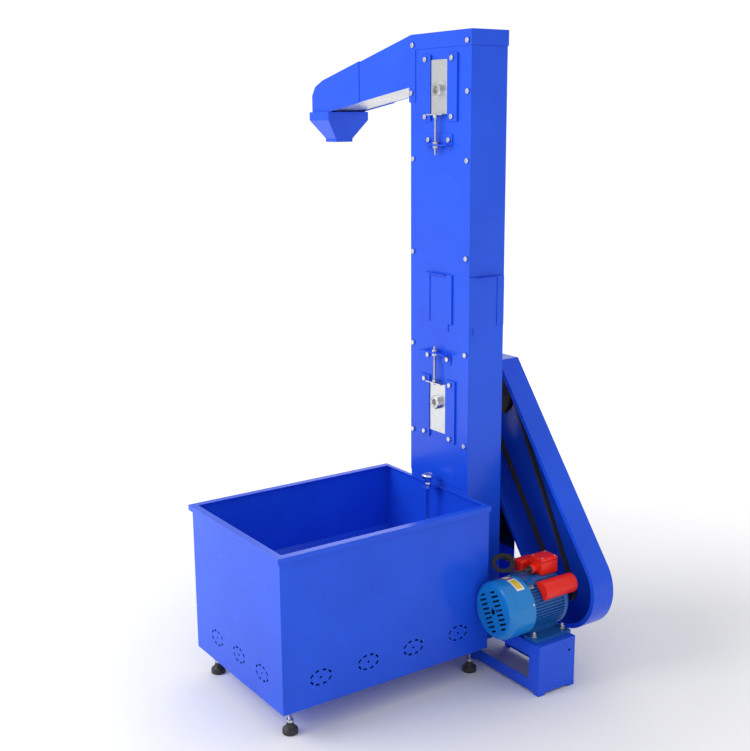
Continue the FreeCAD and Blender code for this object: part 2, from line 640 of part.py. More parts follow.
def make_bucket_belt():
    head, drive, boot = value("head_z"), value("drive_z"), value("boot_z")
    small, drum, thick = value("head_radius"), value("drum_radius"), value("band_thick")
    centres = [(0, head, small), (0, drive, drum), (0, boot, small)]
    width = value("band_half")
    feature("bucket_belt", belt_shape(centres, 0.2, thick, -width, width))
    count = int(value("bucket_count"))
    offset = drum + thick + 1
    high = head - value("bucket_tall")
    pitch = (high - boot) / (count // 2 - 1)
    scoops = []
    for index in range(count // 2):
        rising = bucket_shape()
        rising.translate(Vector(offset, 0, boot + index * pitch))
        falling = bucket_shape()
        falling.rotate(Vector(0, 0, 0), Vector(0, 1, 0), 180)
        falling.translate(Vector(-offset, 0, high + value("bucket_tall") - index * pitch))
        scoops += [rising, falling]
    feature("buckets", Part.makeCompound(scoops))


# ---- inspection doors -----------------------------------------------------------------------

def swap(front, pairs):
    """Limits for the front door as given, or turned onto the right-hand side of the casing."""
    across, depth, tall = pairs
    if front:
        return across, outside(-1, *depth), tall
    shifted = tuple("side_door_y + (%s)" % text for text in across)
    layer = tuple("leg_width / 2 + %s" % text for text in depth)
    return layer, shifted, tall


def make_doors():
    guides = []
    for name, front in (("front", True), ("side", False)):
        gap = "slide_gap"
        outer = gap + " + sheet_wall"
        plate = box(name + "_door_plate", *swap(front, (
            ("-door_half", "door_half"), (gap, outer), ("door_low", "door_high"))))
        lip = box(name + "_door_lip", *swap(front, (
            ("-guide_window + 1", "guide_window - 1"), (outer, outer + " + door_lip"),
            ("door_high - sheet_wall", "door_high"))))
        name_part(fuse(name + "_door", plate, lip), name + "_door")
        for hand, sign in ((0, "-"), (1, "")):
            step = 1 if hand else -1
            foot = (sign + "(door_half + slide_gap)", sign + "guide_outer")[::step]
            lid = (sign + "guide_window", sign + "guide_outer")[::step]
            low = outer + " + slide_gap"
            guides.append(fuse(
                "%s_guide_%d" % (name, hand),
                box("%s_guide_foot_%d" % (name, hand), *swap(front, (
                    foot, ("0", low), ("guide_low", "door_high")))),
                box("%s_guide_lid_%d" % (name, hand), *swap(front, (
                    lid, (low, low + " + sheet_wall"), ("guide_low", "door_high"))))))
    group("door_guides", *guides)


# ---- hopper, chute, gate and feet -----------------------------------------------------------

HOPPER_FRONT = "(-leg_depth / 2 - hopper_length)"


def vent_cutters():
    """Oval rings of short slots with a centre hole, on the hopper's front and right-hand faces."""
    wide, rise = value("vent_wide"), value("vent_rise")
    slot, length = value("vent_slot"), value("vent_length")
    depth = 3 * value("sheet_wall")
    pieces = []
    for turn in (28, 70, 110, 152, 208, 250, 290, 332):
        across, up = math.cos(math.radians(turn)), math.sin(math.radians(turn))
        lean = math.degrees(math.atan2(-rise * across, -wide * up))
        piece = Part.makeBox(length, depth, slot, Vector(-length / 2, -depth / 2, -slot / 2))
        piece.rotate(Vector(0, 0, 0), Vector(0, 1, 0), lean)
        piece.translate(Vector(wide * across, 0, rise * up))
        pieces.append(piece)
    pieces.append(Part.makeCylinder(slot / 1.6, depth, Vector(0, -depth / 2, 0), Vector(0, 1, 0)))
    ring = Part.makeCompound(pieces)
    front_y = value(HOPPER_FRONT)
    left, right = -value("hopper_left"), value("hopper_right")
    level = value("vent_height")
    rings = []
    for share in (0.26, 0.52, 0.78):
        copy = ring.copy()
        copy.translate(Vector(left + share * (right - left), front_y, level))
        rings.append(copy)
    for share in (0.17, 0.39, 0.61, 0.84):
        copy = ring.copy()
        copy.rotate(Vector(0, 0, 0), Vector(0, 0, 1), 90)
        copy.translate(Vector(right, front_y + share * value("hopper_length"), level))
        rings.append(copy)
    return Part.makeCompound(rings)


def make_hopper():
    across = ("-hopper_left", "hopper_right")
    deep = (HOPPER_FRONT, FRONT)
    shell = box("hopper_shell", across, deep, ("hopper_low", "hopper_top"))
    rim_across = ("-hopper_left - rim_out", "hopper_right + rim_out")
    rim_deep = (HOPPER_FRONT + " - rim_out", FRONT)
    rim = box("hopper_rim", rim_across, rim_deep, ("hopper_top - rim_drop", "hopper_top"))
    under = cut("hopper_rim_under",
                box("hopper_rim_under_outer",
                    ("-hopper_left - rim_out + sheet_wall", "hopper_right + rim_out - sheet_wall"),
                    (HOPPER_FRONT + " - rim_out + sheet_wall", FRONT + " + 1"),
                    ("hopper_top - rim_drop - 1", "hopper_top - sheet_wall")),
                box("hopper_rim_under_inner", across, (HOPPER_FRONT, FRONT + " + 2"),
                    ("hopper_top - rim_drop - 2", "hopper_top")))
    tab = box("hopper_gate_tab", ("-knob_stem - 8", "knob_stem + 8"),
              (FRONT + " - throat_length - gate_thick - 12", FRONT + " - 1"),
              ("hopper_top - sheet_wall", "hopper_top"))
    inside = box("hopper_inside", ("-hopper_left + sheet_wall", "hopper_right - sheet_wall"),
                 (HOPPER_FRONT + " + sheet_wall", FRONT + " - sheet_wall"),
                 ("hopper_low + sheet_wall", "hopper_top - sheet_wall"))
    mouth = box("hopper_mouth",
                ("-hopper_left + sheet_wall + rim_in", "hopper_right - sheet_wall - rim_in"),
                (HOPPER_FRONT + " + sheet_wall + rim_in", FRONT + " - sheet_wall - rim_in"),
                ("hopper_top - sheet_wall - 1", "hopper_top + 1"))
    inlet = box("hopper_inlet", ("-throat_half", "throat_half"), (FRONT + " - 5", FRONT + " + 1"),
                ("chute_low", "chute_low + throat_tall"))
    vents = doc.addObject("Part::Feature", "hopper_vents")
    vents.Shape = vent_cutters()
    studs = [rod("hopper_stud_hole_%d" % index, "Z", "stud_radius + 0.5", "hopper_low - 1",
                 "hopper_low + sheet_wall + 1", x, y) for index, (x, y) in enumerate(FOOT_PLACES)]
    solid = fuse("hopper_solid", shell, rim)
    open_shell = cut("hopper_open", solid, under, inside, mouth, inlet, vents, *studs)
    eye = rod("hopper_gate_eye", "Z", "gate_rod + 0.5", "hopper_top - 5", "hopper_top + 1",
              "0", GATE_Y)
    name_part(cut("hopper", fuse("hopper_with_tab", open_shell, tab), eye), "hopper")


FOOT_PLACES = [(x, y) for y in (HOPPER_FRONT + " + foot_inset_front", FRONT + " - foot_inset_rear")
               for x in ("-hopper_left + foot_inset_x", "hopper_right - foot_inset_x")]
FOOT_NAMES = ("foot_front_left", "foot_front_right", "foot_rear_left", "foot_rear_right")
GATE_Y = FRONT + " - throat_length - slide_gap - gate_thick / 2"


def make_chute():
    """The sloping bottom inside the hopper, with the short throat that leads into the leg."""
    wall = "sheet_wall"
    gap = "slide_gap"
    y_front = value(HOPPER_FRONT) + value(wall) + value(gap)
    y_back = value(FRONT) - value(wall) - value(gap)
    y_throat = value(FRONT) - value("throat_length")
    left = -value("hopper_left") + value(wall) + value(gap)
    right = value("hopper_right") - value(wall) - value(gap)
    low, high = value("chute_low"), value("chute_high")
    thick = value(wall)
    half = value("throat_half")

    def slope_y(points):
        face = Part.Face(Part.makePolygon([Vector(left, y, z) for y, z in points + points[:1]]))
        return face.extrude(Vector(right - left, 0, 0))

    def slope_x(points):
        face = Part.Face(Part.makePolygon([Vector(x, y_front, z) for x, z in points + points[:1]]))
        return face.extrude(Vector(0, y_back - y_front, 0))

    bottom = slope_y([(y_front, high), (y_throat - 20, low), (y_back, low), (y_back, low - thick),
                      (y_throat - 20, low - thick), (y_front, high - thick)])
    sides = [slope_x([(edge, high), (foot, low), (foot, low - thick), (edge, high - thick)])
             for edge, foot in ((left, -half - 12), (right, half + 12))]
    tall = value("throat_tall")
    tunnel = Part.makeBox(2 * half + 2 * thick, y_back - y_throat, tall + thick,
                          Vector(-half - thick, y_throat, low))
    hollow = Part.makeBox(2 * half, y_back - y_throat + 2, tall, Vector(-half, y_throat - 1, low))
    solid = bottom.fuse(sides).fuse(tunnel.cut(hollow))
    space = Part.makeBox(2 * half + 2 * value("gate_overlap") + 4, value("gate_thick") + 2 * value(gap) + 0.6,
                         high, Vector(-half - value("gate_overlap") - 2,
                                      y_throat - value("gate_thick") - 2 * value(gap) - 0.6, low))
    feature("hopper_chute", solid.cut(space).removeSplitter())


def make_gate():
    wide = "throat_half + gate_overlap"
    back = FRONT + " - throat_length - slide_gap"
    plate = box("gate_plate", ("-(%s)" % wide, wide), (back + " - gate_thick", back),
                ("chute_low + slide_gap", "chute_low + throat_tall + gate_overlap"))
    name_part(plate, "feed_gate")
    top = "chute_low + throat_tall + gate_overlap"
    stem = rod("gate_stem", "Z", "gate_rod", top, "knob_low", "0", GATE_Y)
    neck = rod("knob_neck", "Z", "knob_stem", "knob_low", "knob_low + knob_tall * 0.6", "0", GATE_Y)
    flare = cone("knob_flare", "knob_stem", "knob_radius", "knob_low + knob_tall * 0.5",
                 "knob_low + knob_tall * 0.8", "0", GATE_Y)
    disc = rod("knob_disc", "Z", "knob_radius", "knob_low + knob_tall * 0.8",
               "knob_low + knob_tall", "0", GATE_Y)
    name_part(fuse("gate_handle", stem, neck, flare, disc), "gate_handle")


def make_feet():
    for label, (x, y) in zip(FOOT_NAMES, FOOT_PLACES):
        pad = rod(label + "_pad", "Z", "pad_radius", "0", "pad_tall", x, y)
        skirt = cone(label + "_skirt", "pad_radius", "stud_radius + 3", "pad_tall",
                     "pad_tall + pad_cone", x, y)
        stud = rod(label + "_stud", "Z", "stud_radius", "pad_tall", "stud_top", x, y)
        name_part(fuse(label, pad, skirt, stud), label)


# ---- motor base and motor -------------------------------------------------------------------

AXLE = "base_tall + axle_height"


def slot_block(name, x, y):
    return box(name, ("%s - bolt_radius - slot_reach" % x, "%s + bolt_radius + slot_reach" % x),
               ("%s - bolt_radius - 0.5" % y, "%s + bolt_radius + 0.5" % y),
               ("base_tall - 5", "base_tall + 1"))


BOLT_PLACES = [("motor_x %s foot_bolt_x" % sign, y) for sign in "-+"
               for y in ("-foot_bolt_front", "foot_bolt_back")]


def make_motor_base():
    shell = box("base_shell", (HALF, "base_right"), ("-base_front", "base_back"), ("0", "base_tall"))
    inside = box("base_inside", (HALF + " - 1", "base_right - sheet_wall"),
                 ("-base_front + sheet_wall", "base_back - sheet_wall"), ("-1", "base_tall - sheet_wall"))
    windows = box("base_windows", ("window_left", "window_right"), ("-base_front - 1", "0"),
                  ("window_low", "window_high"))
    long_notch = box("base_notch_long", (HALF + " + notch_inset", "base_right - notch_inset"),
                     ("-base_front - 1", "base_back + 1"), ("-1", "notch_tall"))
    end_notch = box("base_notch_end", (HALF, "base_right + 1"),
                    ("-base_front + notch_inset", "base_back - notch_inset"), ("-1", "notch_tall"))
    earth = rod("base_earth_hole", "X", "bolt_radius", "base_right - 5", "base_right + 1",
                "base_back - 20", "0.75 * base_tall")
    slots = [slot_block("base_slot_%d" % index, x, y) for index, (x, y) in enumerate(BOLT_PLACES)]
    name_part(cut("motor_base", shell, inside, windows, long_notch, end_notch, earth, *slots),
              "motor_base")


def ring_y(radius, bore, low, high):
    axis = Vector(0, 1, 0)
    centre = Vector(value("motor_x"), low, value(AXLE))
    solid = Part.makeCylinder(radius, high - low, centre, axis)
    if bore <= 0:
        return solid
    return solid.cut(Part.makeCylinder(bore, high - low + 2, centre - axis, axis))


def turned(points):
    """Revolves a profile of (radius, y) about the motor's axle."""
    start = Vector(value("motor_x"), 0, value(AXLE))
    path = [start + Vector(radius, y, 0) for radius, y in points]
    face = Part.Face(Part.makePolygon(path + path[:1]))
    return face.revolve(start, Vector(0, 1, 0), 360)


def make_motor_frame():
    low, high = -value("motor_front"), value("motor_back")
    radius, wall = value("frame_radius"), value("frame_wall")
    x, z = value("motor_x"), value(AXLE)
    shell = ring_y(radius, radius - wall, low, high)
    end = ring_y(radius - 1, value("motor_shaft") + 0.5, low, low + 5)
    parts = [end]
    rib, tall = 2.4, value("rib_tall")
    for step in range(-9, 10):
        for side in (0, 180):
            turn = side + step * 6.5
            piece = Part.makeBox(tall + 3, high - low, rib, Vector(x + radius - 3, low, z - rib / 2))
            piece.rotate(Vector(x, 0, z), Vector(0, 1, 0), turn)
            parts.append(piece)
    top = Part.makeBox(76, high - low - 10, 20, Vector(x - 38, low + 10, value("box_low") - 20))
    base = value("base_tall")
    half, thick = value("motor_foot_half"), value("motor_foot_thick")
    feet = [Part.makeBox(half - 40, high - low + 12, thick, Vector(start, low, base))
            for start in (x - half, x + 40)]
    saddle = Part.makeBox(100, high - low - 14, z - base - 45, Vector(x - 50, low + 12, base))
    solid = shell.fuse(parts + feet + [top, saddle])
    solid = solid.cut(ring_y(radius - wall, 0, low + 5, high + 1))
    for bx, by in BOLT_PLACES:
        solid = solid.cut(Part.makeCylinder(value("bolt_radius") + 0.3, thick + 4,
                                            Vector(value(bx), value(by), base - 2)))
    feature("motor_frame", solid.removeSplitter())


def make_fan_cover():
    radius, rounding, wall = value("cover_radius"), value("cover_round"), value("sheet_wall")
    front, back = -value("cover_front"), -value("motor_front") + 8

    def cup(out, face_y, round_radius):
        points = [(0, back), (out, back), (out, face_y + round_radius)]
        for step in range(1, 7):
            angle = math.radians(15 * step)
            points.append((out - round_radius + round_radius * math.cos(angle),
                           face_y + round_radius - round_radius * math.sin(angle)))
        points.append((0, face_y))
        return turned(points)

    solid = cup(radius, front, rounding).cut(cup(radius - wall, front + wall, rounding - wall))
    inner = ring_y(value("frame_radius") + value("rib_tall") + 0.5, 0, back - 9, back + 1)
    solid = solid.cut(inner)
    x, z = value("motor_x"), value(AXLE)
    reach = radius - rounding - 4
    cuts = [Part.makeCylinder(8, 8, Vector(x, front - 2, z), Vector(0, 1, 0))]
    for step in range(-4, 5):
        level = 12.5 * step
        limit = math.sqrt(reach * reach - level * level)
        for side in (-1, 1):
            near, far = 12, min(40, limit)
            start = x + (near if side > 0 else -far)
            slot = Part.makeBox(far - near, 8, 5, Vector(start, front - 2, z + level - 2.5))
            slot.rotate(Vector(x, 0, z), Vector(0, 1, 0), -value("grille_turn"))
            cuts.append(slot)
    feature("fan_cover", solid.cut(cuts))


def make_motor_inside():
    shaft, low, high = value("motor_shaft"), -value("motor_front"), value("motor_back")
    bore = value("frame_radius") - value("frame_wall")
    feature("stator", ring_y(bore, 41, low + 12, high - 10))
    shield_back, boss = value("shield_back"), value("boss_back")
    outer = value("frame_radius") + value("rib_tall")
    feature("end_shield", turned([
        (shaft + 0.5, high), (outer, high), (outer, high + 12), (outer - 12, shield_back - 4),
        (34, shield_back), (30, boss), (shaft + 0.5, boss)]))
    rotor = ring_y(40, 0, low + 14, high - 12)
    axle = ring_y(shaft, 0, -value("cover_front") + 18, value("sheave_back"))
    feature("rotor", rotor.fuse(axle))
    hub = ring_y(16, shaft, -value("cover_front") + 22, low - 16)
    blades = []
    x, z = value("motor_x"), value(AXLE)
    for step in range(8):
        blade = Part.makeBox(50, low - 20 + value("cover_front") - 24, 2.5,
                             Vector(x + 14, -value("cover_front") + 24, z - 1.2))
        blade.rotate(Vector(x, 0, z), Vector(0, 1, 0), 45 * step)
        blades.append(blade)
    disc = ring_y(64, shaft, low - 18, low - 16)
    feature("cooling_fan", hub.fuse(blades + [disc]).cut(ring_y(shaft, 0, -200, 200)))


def make_terminals():
    box_x, half = "box_x", "box_half"
    lid = box("terminal_block", (box_x + " - " + half, box_x + " + " + half),
              ("box_front", "box_back"), ("box_low", "box_high"))
    rounded = doc.addObject("Part::Fillet", "junction_box")
    rounded.Base = lid
    doc.recompute()
    edges = [index + 1 for index, edge in enumerate(lid.Shape.Edges)
             if edge.BoundBox.ZMax > value("box_high") - 1]
    rounded.Edges = [(number, 5.0, 5.0) for number in edges]
    name_part(rounded, "junction_box")
    shell = rod("gland_body", "Y", "gland_radius", "box_front - gland_length", "box_front",
                "gland_x", "gland_z")
    bore = rod("gland_bore", "Y", "lead_radius", "box_front - gland_length", "box_front",
               "gland_x", "gland_z")
    name_part(cut("cord_gland", shell, bore), "cord_gland")
    clear = ring_y(value("frame_radius") + value("rib_tall") + 0.4, 0, -200, 200)
    pad = Part.makeBox(77, 400, 40, Vector(value("motor_x") - 38.5, -200, value("box_low") - 39.5))
    x = value("motor_x") + value("cap_side")
    z = value(AXLE) + value("cap_rise")
    low, high = value("cap_front"), value("cap_back")
    radius = value("cap_radius")
    round_cover = Part.makeCylinder(radius, high - low, Vector(x, low, z), Vector(0, 1, 0))
    lean = math.degrees(math.atan2(value("cap_rise"), value("cap_side")))
    block = Part.makeBox(radius, high - low, 2 * radius, Vector(-radius, low, -radius))
    block.rotate(Vector(0, 0, 0), Vector(0, 1, 0), -lean)
    block.translate(Vector(x, 0, z))
    feature("capacitor_near", round_cover.fuse(block).cut([clear, pad]).removeSplitter())
    left, right = value("starter_left"), value("starter_right")
    low, high, top = value("starter_front"), value("starter_back"), value("starter_top")
    cover = Part.makeBox(right - left, high - low, 66, Vector(left, low, top - 66))
    upper = [edge for edge in cover.Edges if edge.BoundBox.ZMax > top - 1]
    cover = cover.makeFillet(value("starter_round"), upper)
    feature("capacitor_far", cover.cut([clear, pad]).removeSplitter())
    bolts = []
    base = value("base_tall")
    top = base + value("motor_foot_thick")
    for bx, by in BOLT_PLACES:
        spot = Vector(value(bx), value(by), 0)
        shank = Part.makeCylinder(value("bolt_radius"), 30, spot + Vector(0, 0, top - 16))
        washer = Part.makeCylinder(value("nut_radius") + 2, 1.6, spot + Vector(0, 0, top))
        head = hex_solid(spot + Vector(0, 0, top + 1.6), value("nut_tall"))
        nut = hex_solid(spot + Vector(0, 0, base - value("sheet_wall") - value("nut_tall")), value("nut_tall"))
        bolts.append(shank.fuse([washer, head, nut]))
    feature("motor_bolts", Part.makeCompound(bolts))


def hex_solid(spot, tall):
    radius = value("nut_radius")
    ring = [spot + Vector(radius * math.cos(math.radians(60 * step)),
                          radius * math.sin(math.radians(60 * step)), 0) for step in range(7)]
    return Part.Face(Part.makePolygon(ring)).extrude(Vector(0, 0, tall))


# ---- V-belt drive, guard and rear post ------------------------------------------------------

def sheave_shape(pitch, bore):
    """A single-groove V pulley about the Y axis, between the sheave planes."""
    front, back = value("sheave_front"), value("sheave_back")
    middle = (front + back) / 2
    rim = pitch + value("vee_over") - 0.5
    root = pitch - value("vee_under") - 1.5
    open_half = value("vee_width") / 2 + 0.9
    root_half = open_half - 0.7
    face = 10
    points = [(bore, front), (bore + 9, front), (bore + 9, middle - face), (rim, middle - face),
              (rim, middle - open_half), (root, middle - root_half), (root, middle + root_half),
              (rim, middle + open_half), (rim, middle + face), (bore + 9, middle + face),
              (bore + 9, back), (bore, back)]
    path = [Vector(radius, y, 0) for radius, y in points]
    profile = Part.Face(Part.makePolygon(path + path[:1]))
    return profile.revolve(Vector(0, 0, 0), Vector(0, 1, 0), 360)


def make_drive():
    big = sheave_shape(value("big_pitch"), value("shaft_radius"))
    big.translate(Vector(0, 0, value("drive_z")))
    feature("drive_sheave", big)
    small = sheave_shape(value("small_pitch"), value("motor_shaft"))
    small.translate(Vector(value("motor_x"), 0, value(AXLE)))
    feature("motor_sheave", small)
    middle = (value("sheave_front") + value("sheave_back")) / 2
    half = value("vee_width") / 2
    centres = [(0, value("drive_z"), value("big_pitch")),
               (value("motor_x"), value(AXLE), value("small_pitch"))]
    band = belt_shape(centres, -value("vee_under"), value("vee_over"), middle - half, middle + half)
    for side in (-1, 1):
        edge = middle + side * half
        low, high = min(edge, edge - side * 1.7), max(edge, edge - side * 1.7)
        band = band.cut(belt_block(centres, -value("vee_under") + 2.5, low, high))
    feature("drive_belt", band)


def guard_face(inset):
    """The guard's side profile, taken in by a distance all round."""
    angle = math.radians(value("guard_angle"))
    radius = value("guard_radius") - inset
    centre = Vector(value("motor_x"), 0, value(AXLE) + value("guard_rise"))
    run = Vector(-math.sin(angle), 0, math.cos(angle))
    right = Vector(math.cos(angle), 0, math.sin(angle))
    top, left = value("guard_top") - inset, -value("guard_left") + inset
    upper = centre + right * radius
    lower = centre - right * radius
    corner_top = upper + run * ((top - upper.z) / run.z)
    corner_left = lower + run * ((left - lower.x) / run.x)
    around = centre - run * radius
    edges = [Part.LineSegment(upper, corner_top).toShape(),
             Part.LineSegment(corner_top, Vector(left, 0, top)).toShape(),
             Part.LineSegment(Vector(left, 0, top), corner_left).toShape(),
             Part.LineSegment(corner_left, lower).toShape(),
             Part.Arc(lower, around, upper).toShape()]
    return Part.Face(Part.Wire(edges))


def guard_block(inset, low, high):
    face = guard_face(inset)
    face.translate(Vector(0, low, 0))
    return face.extrude(Vector(0, high - low, 0))


def make_guard():
    front, back = value("guard_front"), value("guard_back")
    wall, lip = value("guard_wall"), value("guard_lip")
    solid = guard_block(0, front, back)
    solid = solid.cut(guard_block(wall, front + wall, back - wall))
    solid = solid.cut(guard_block(wall + lip, front - 1, front + wall + 1))
    feature("belt_guard", solid)
    left, right = "-post_left", "post_right"
    outer_back = "guard_back - guard_wall"
    far = "guard_back"
    block = box("post_block", (left, right), (BACK, far), ("0", "post_top"))
    hollow = box("post_hollow", (left + " + sheet_wall", right + " + 1"),
                 (BACK + " + sheet_wall", far + " - sheet_wall"), ("sheet_wall", "post_top + 1"))
    behind = doc.addObject("Part::Feature", "post_guard_space")
    behind.Shape = guard_block(-0.3, front - 0.3, back + 10)
    name_part(cut("rear_post", block, hollow, behind), "rear_post")
    ear = box("bracket_ear", ("-guard_left + 12", "-guard_left + 28"), (BACK, "guard_front"),
              ("guard_top - guard_wall - 12", "guard_top - guard_wall - 9"))
    tail = box("bracket_tail", ("-guard_left + 12", "-guard_left + 28"), (BACK, BACK + " + 3"),
               ("guard_top - 60", "guard_top - guard_wall - 9"))
    tip = box("bracket_tip", ("-guard_left + 12", "-guard_left + 28"), ("guard_front - 3", "guard_front"),
              ("guard_top - 30", "guard_top - guard_wall - 9"))
    name_part(fuse("guard_bracket", ear, tail, tip), "guard_bracket")


# ---- supply lead ----------------------------------------------------------------------------

def tube_along(points, radius):
    """Straight runs joined by tangent arcs, each as large as its two runs allow."""
    edges = []
    here = points[0]
    radii = []
    for before, corner, after in zip(points, points[1:], points[2:]):
        come = (corner - before).normalize()
        go = (after - corner).normalize()
        turn = come.getAngle(go)
        shorter = min((corner - before).Length, (after - corner).Length)
        bend = 0.45 * shorter / math.tan(turn / 2)
        reach = 0.45 * shorter
        start, stop = corner - come * reach, corner + go * reach
        inward = (go - come).normalize()
        centre = corner + inward * math.hypot(reach, bend)
        middle = centre - inward * bend
        edges.append(Part.LineSegment(here, start).toShape())
        edges.append(Part.Arc(start, middle, stop).toShape())
        here = stop
        radii.append(round(bend, 1))
    edges.append(Part.LineSegment(here, points[-1]).toShape())
    path = Part.Wire(edges)
    ring = Part.Wire(Part.makeCircle(radius, points[0], points[1] - points[0]))
    solid = path.makePipeShell([ring], True, False)
    print("lead radii", radii, "length", round(path.Length, 1),
          "volume ratio", round(solid.Volume / (math.pi * radius ** 2 * path.Length), 4))
    return solid


COIL_CENTRE = Vector(243, -25, 318)
COIL_FACING = Vector(0.4616, -0.3156, 0.829)
PLUG_TAIL = Vector(219, -24, 326.5)
PLUG_BACK = Vector(217.8, -7, 325.5)
PLUG_FACING = Vector(-0.03, 0.95, -0.3)
LEAD_POINTS = [(308, 15, 314), (307.5, -3, 313), (297, -17, 311), (281, -27.5, 308), (260.8, -37.2, 303.5)]


def make_lead():
    radius = value("lead_radius")
    facing = Vector(COIL_FACING).normalize()
    coil = Part.makeTorus(value("coil_ring"), value("coil_girth"), COIL_CENTRE, facing)
    tube = tube_along([Vector(*point) for point in LEAD_POINTS], radius)
    feature("cord_tube", tube.cut(coil))
    feature("cord_coil", coil)
    aim = Vector(PLUG_FACING).normalize()
    toward = PLUG_BACK - PLUG_TAIL
    tail = Part.makeCylinder(radius, toward.Length + 4, PLUG_TAIL, toward)
    relief = Part.makeCone(4, 7, 10, PLUG_BACK, aim)
    body = Part.makeCylinder(10.5, 26, PLUG_BACK + aim * 9, aim)
    across = Vector(0, 0, 1).cross(aim).normalize()
    pins = [Part.makeCylinder(2.2, 18, PLUG_BACK + aim * 34 + across * shift, aim) for shift in (-6.4, 6.4)]
    feature("plug", tail.fuse([relief, body] + pins).cut(coil))


make_leg()
make_head_cap()
make_spout_end()
make_spout_floor()
make_outlet()
make_cover_bolts(make_takeups())
make_shafts()
make_bucket_belt()
make_doors()
make_hopper()
make_chute()
make_gate()
make_feet()
make_motor_base()
make_motor_frame()
make_fan_cover()
make_motor_inside()
make_terminals()
make_drive()
make_guard()
make_lead()
doc.recompute()

faults = [thing.Name for thing in doc.Objects if "Invalid" in thing.State or "Error" in thing.State]
for part in sub_parts:
    shape = part.Shape
    if shape.isNull() or not shape.isValid() or not shape.Solids:
        faults.append(part.Label)
if faults:
    raise RuntimeError("not sound: " + ", ".join(faults))

os.makedirs("parts", exist_ok=True)
for part in sub_parts:
    part.Shape.exportStep("parts/%s.step" % part.Label)
print(len(sub_parts), "nodes written")
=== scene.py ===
import bpy, bmesh, json, math
from mathutils import Matrix, Vector


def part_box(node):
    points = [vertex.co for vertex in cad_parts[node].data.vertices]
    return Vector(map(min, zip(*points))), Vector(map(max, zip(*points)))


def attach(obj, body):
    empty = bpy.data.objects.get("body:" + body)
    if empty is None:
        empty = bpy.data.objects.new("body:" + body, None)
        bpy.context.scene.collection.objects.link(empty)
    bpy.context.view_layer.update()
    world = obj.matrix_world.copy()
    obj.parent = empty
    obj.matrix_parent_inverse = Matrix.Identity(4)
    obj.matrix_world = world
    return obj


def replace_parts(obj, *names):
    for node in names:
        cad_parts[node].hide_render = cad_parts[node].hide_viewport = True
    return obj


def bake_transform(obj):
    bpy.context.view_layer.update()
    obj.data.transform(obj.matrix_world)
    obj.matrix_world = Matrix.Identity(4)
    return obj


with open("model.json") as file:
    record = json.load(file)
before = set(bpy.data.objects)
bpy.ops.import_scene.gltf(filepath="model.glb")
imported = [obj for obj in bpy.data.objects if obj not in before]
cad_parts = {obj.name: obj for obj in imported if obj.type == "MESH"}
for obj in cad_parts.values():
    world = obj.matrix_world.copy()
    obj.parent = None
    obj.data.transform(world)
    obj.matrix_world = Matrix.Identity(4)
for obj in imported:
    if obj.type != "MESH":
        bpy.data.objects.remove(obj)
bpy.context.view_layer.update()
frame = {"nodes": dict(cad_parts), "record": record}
nodes, record = frame["nodes"], frame["record"]
bodyOf = {node: body for body, members in record["behaviour"]["bodies"].items() for node in members}
mm = 0.001


# shared effects for the finishes

def makeGroup(name, inputs, outputs):
    group = bpy.data.node_groups.new(name, "ShaderNodeTree")
    for label, kind, start in inputs:
        socket = group.interface.new_socket(label, in_out="INPUT", socket_type=kind)
        socket.default_value = start
    for label, kind in outputs:
        group.interface.new_socket(label, in_out="OUTPUT", socket_type=kind)
    return group, group.nodes.new("NodeGroupInput"), group.nodes.new("NodeGroupOutput")


def addNode(tree, kind, values=None, **settings):
    node = tree.nodes.new(kind)
    for key, setting in settings.items():
        setattr(node, key, setting)
    for key, number in (values or {}).items():
        node.inputs[key].default_value = number
    return node


def addRamp(tree, low, high, fromValue=0.0, toValue=1.0):
    ends = {"From Min": low, "From Max": high, "To Min": fromValue, "To Max": toValue}
    return addNode(tree, "ShaderNodeMapRange", ends)


def buildOrangePeel():  # the faint ripple and colour drift of powder coat
    group, start, end = makeGroup(
        "orangePeel",
        [("Scale", "NodeSocketFloat", 700.0), ("Depth", "NodeSocketFloat", 0.05)],
        [("Normal", "NodeSocketVector"), ("Cloud", "NodeSocketFloat")])
    where = addNode(group, "ShaderNodeTexCoord")
    fine = addNode(group, "ShaderNodeTexNoise", {"Detail": 2.0})
    broad = addNode(group, "ShaderNodeTexNoise", {"Scale": 5.0, "Detail": 3.0, "Roughness": 0.6})
    bump = addNode(group, "ShaderNodeBump", {"Distance": 0.0004})
    link = group.links.new
    link(where.outputs["Object"], fine.inputs["Vector"])
    link(where.outputs["Object"], broad.inputs["Vector"])
    link(start.outputs["Scale"], fine.inputs["Scale"])
    link(start.outputs["Depth"], bump.inputs["Strength"])
    link(fine.outputs["Fac"], bump.inputs["Height"])
    link(bump.outputs["Normal"], end.inputs["Normal"])
    link(broad.outputs["Fac"], end.inputs["Cloud"])
    return group


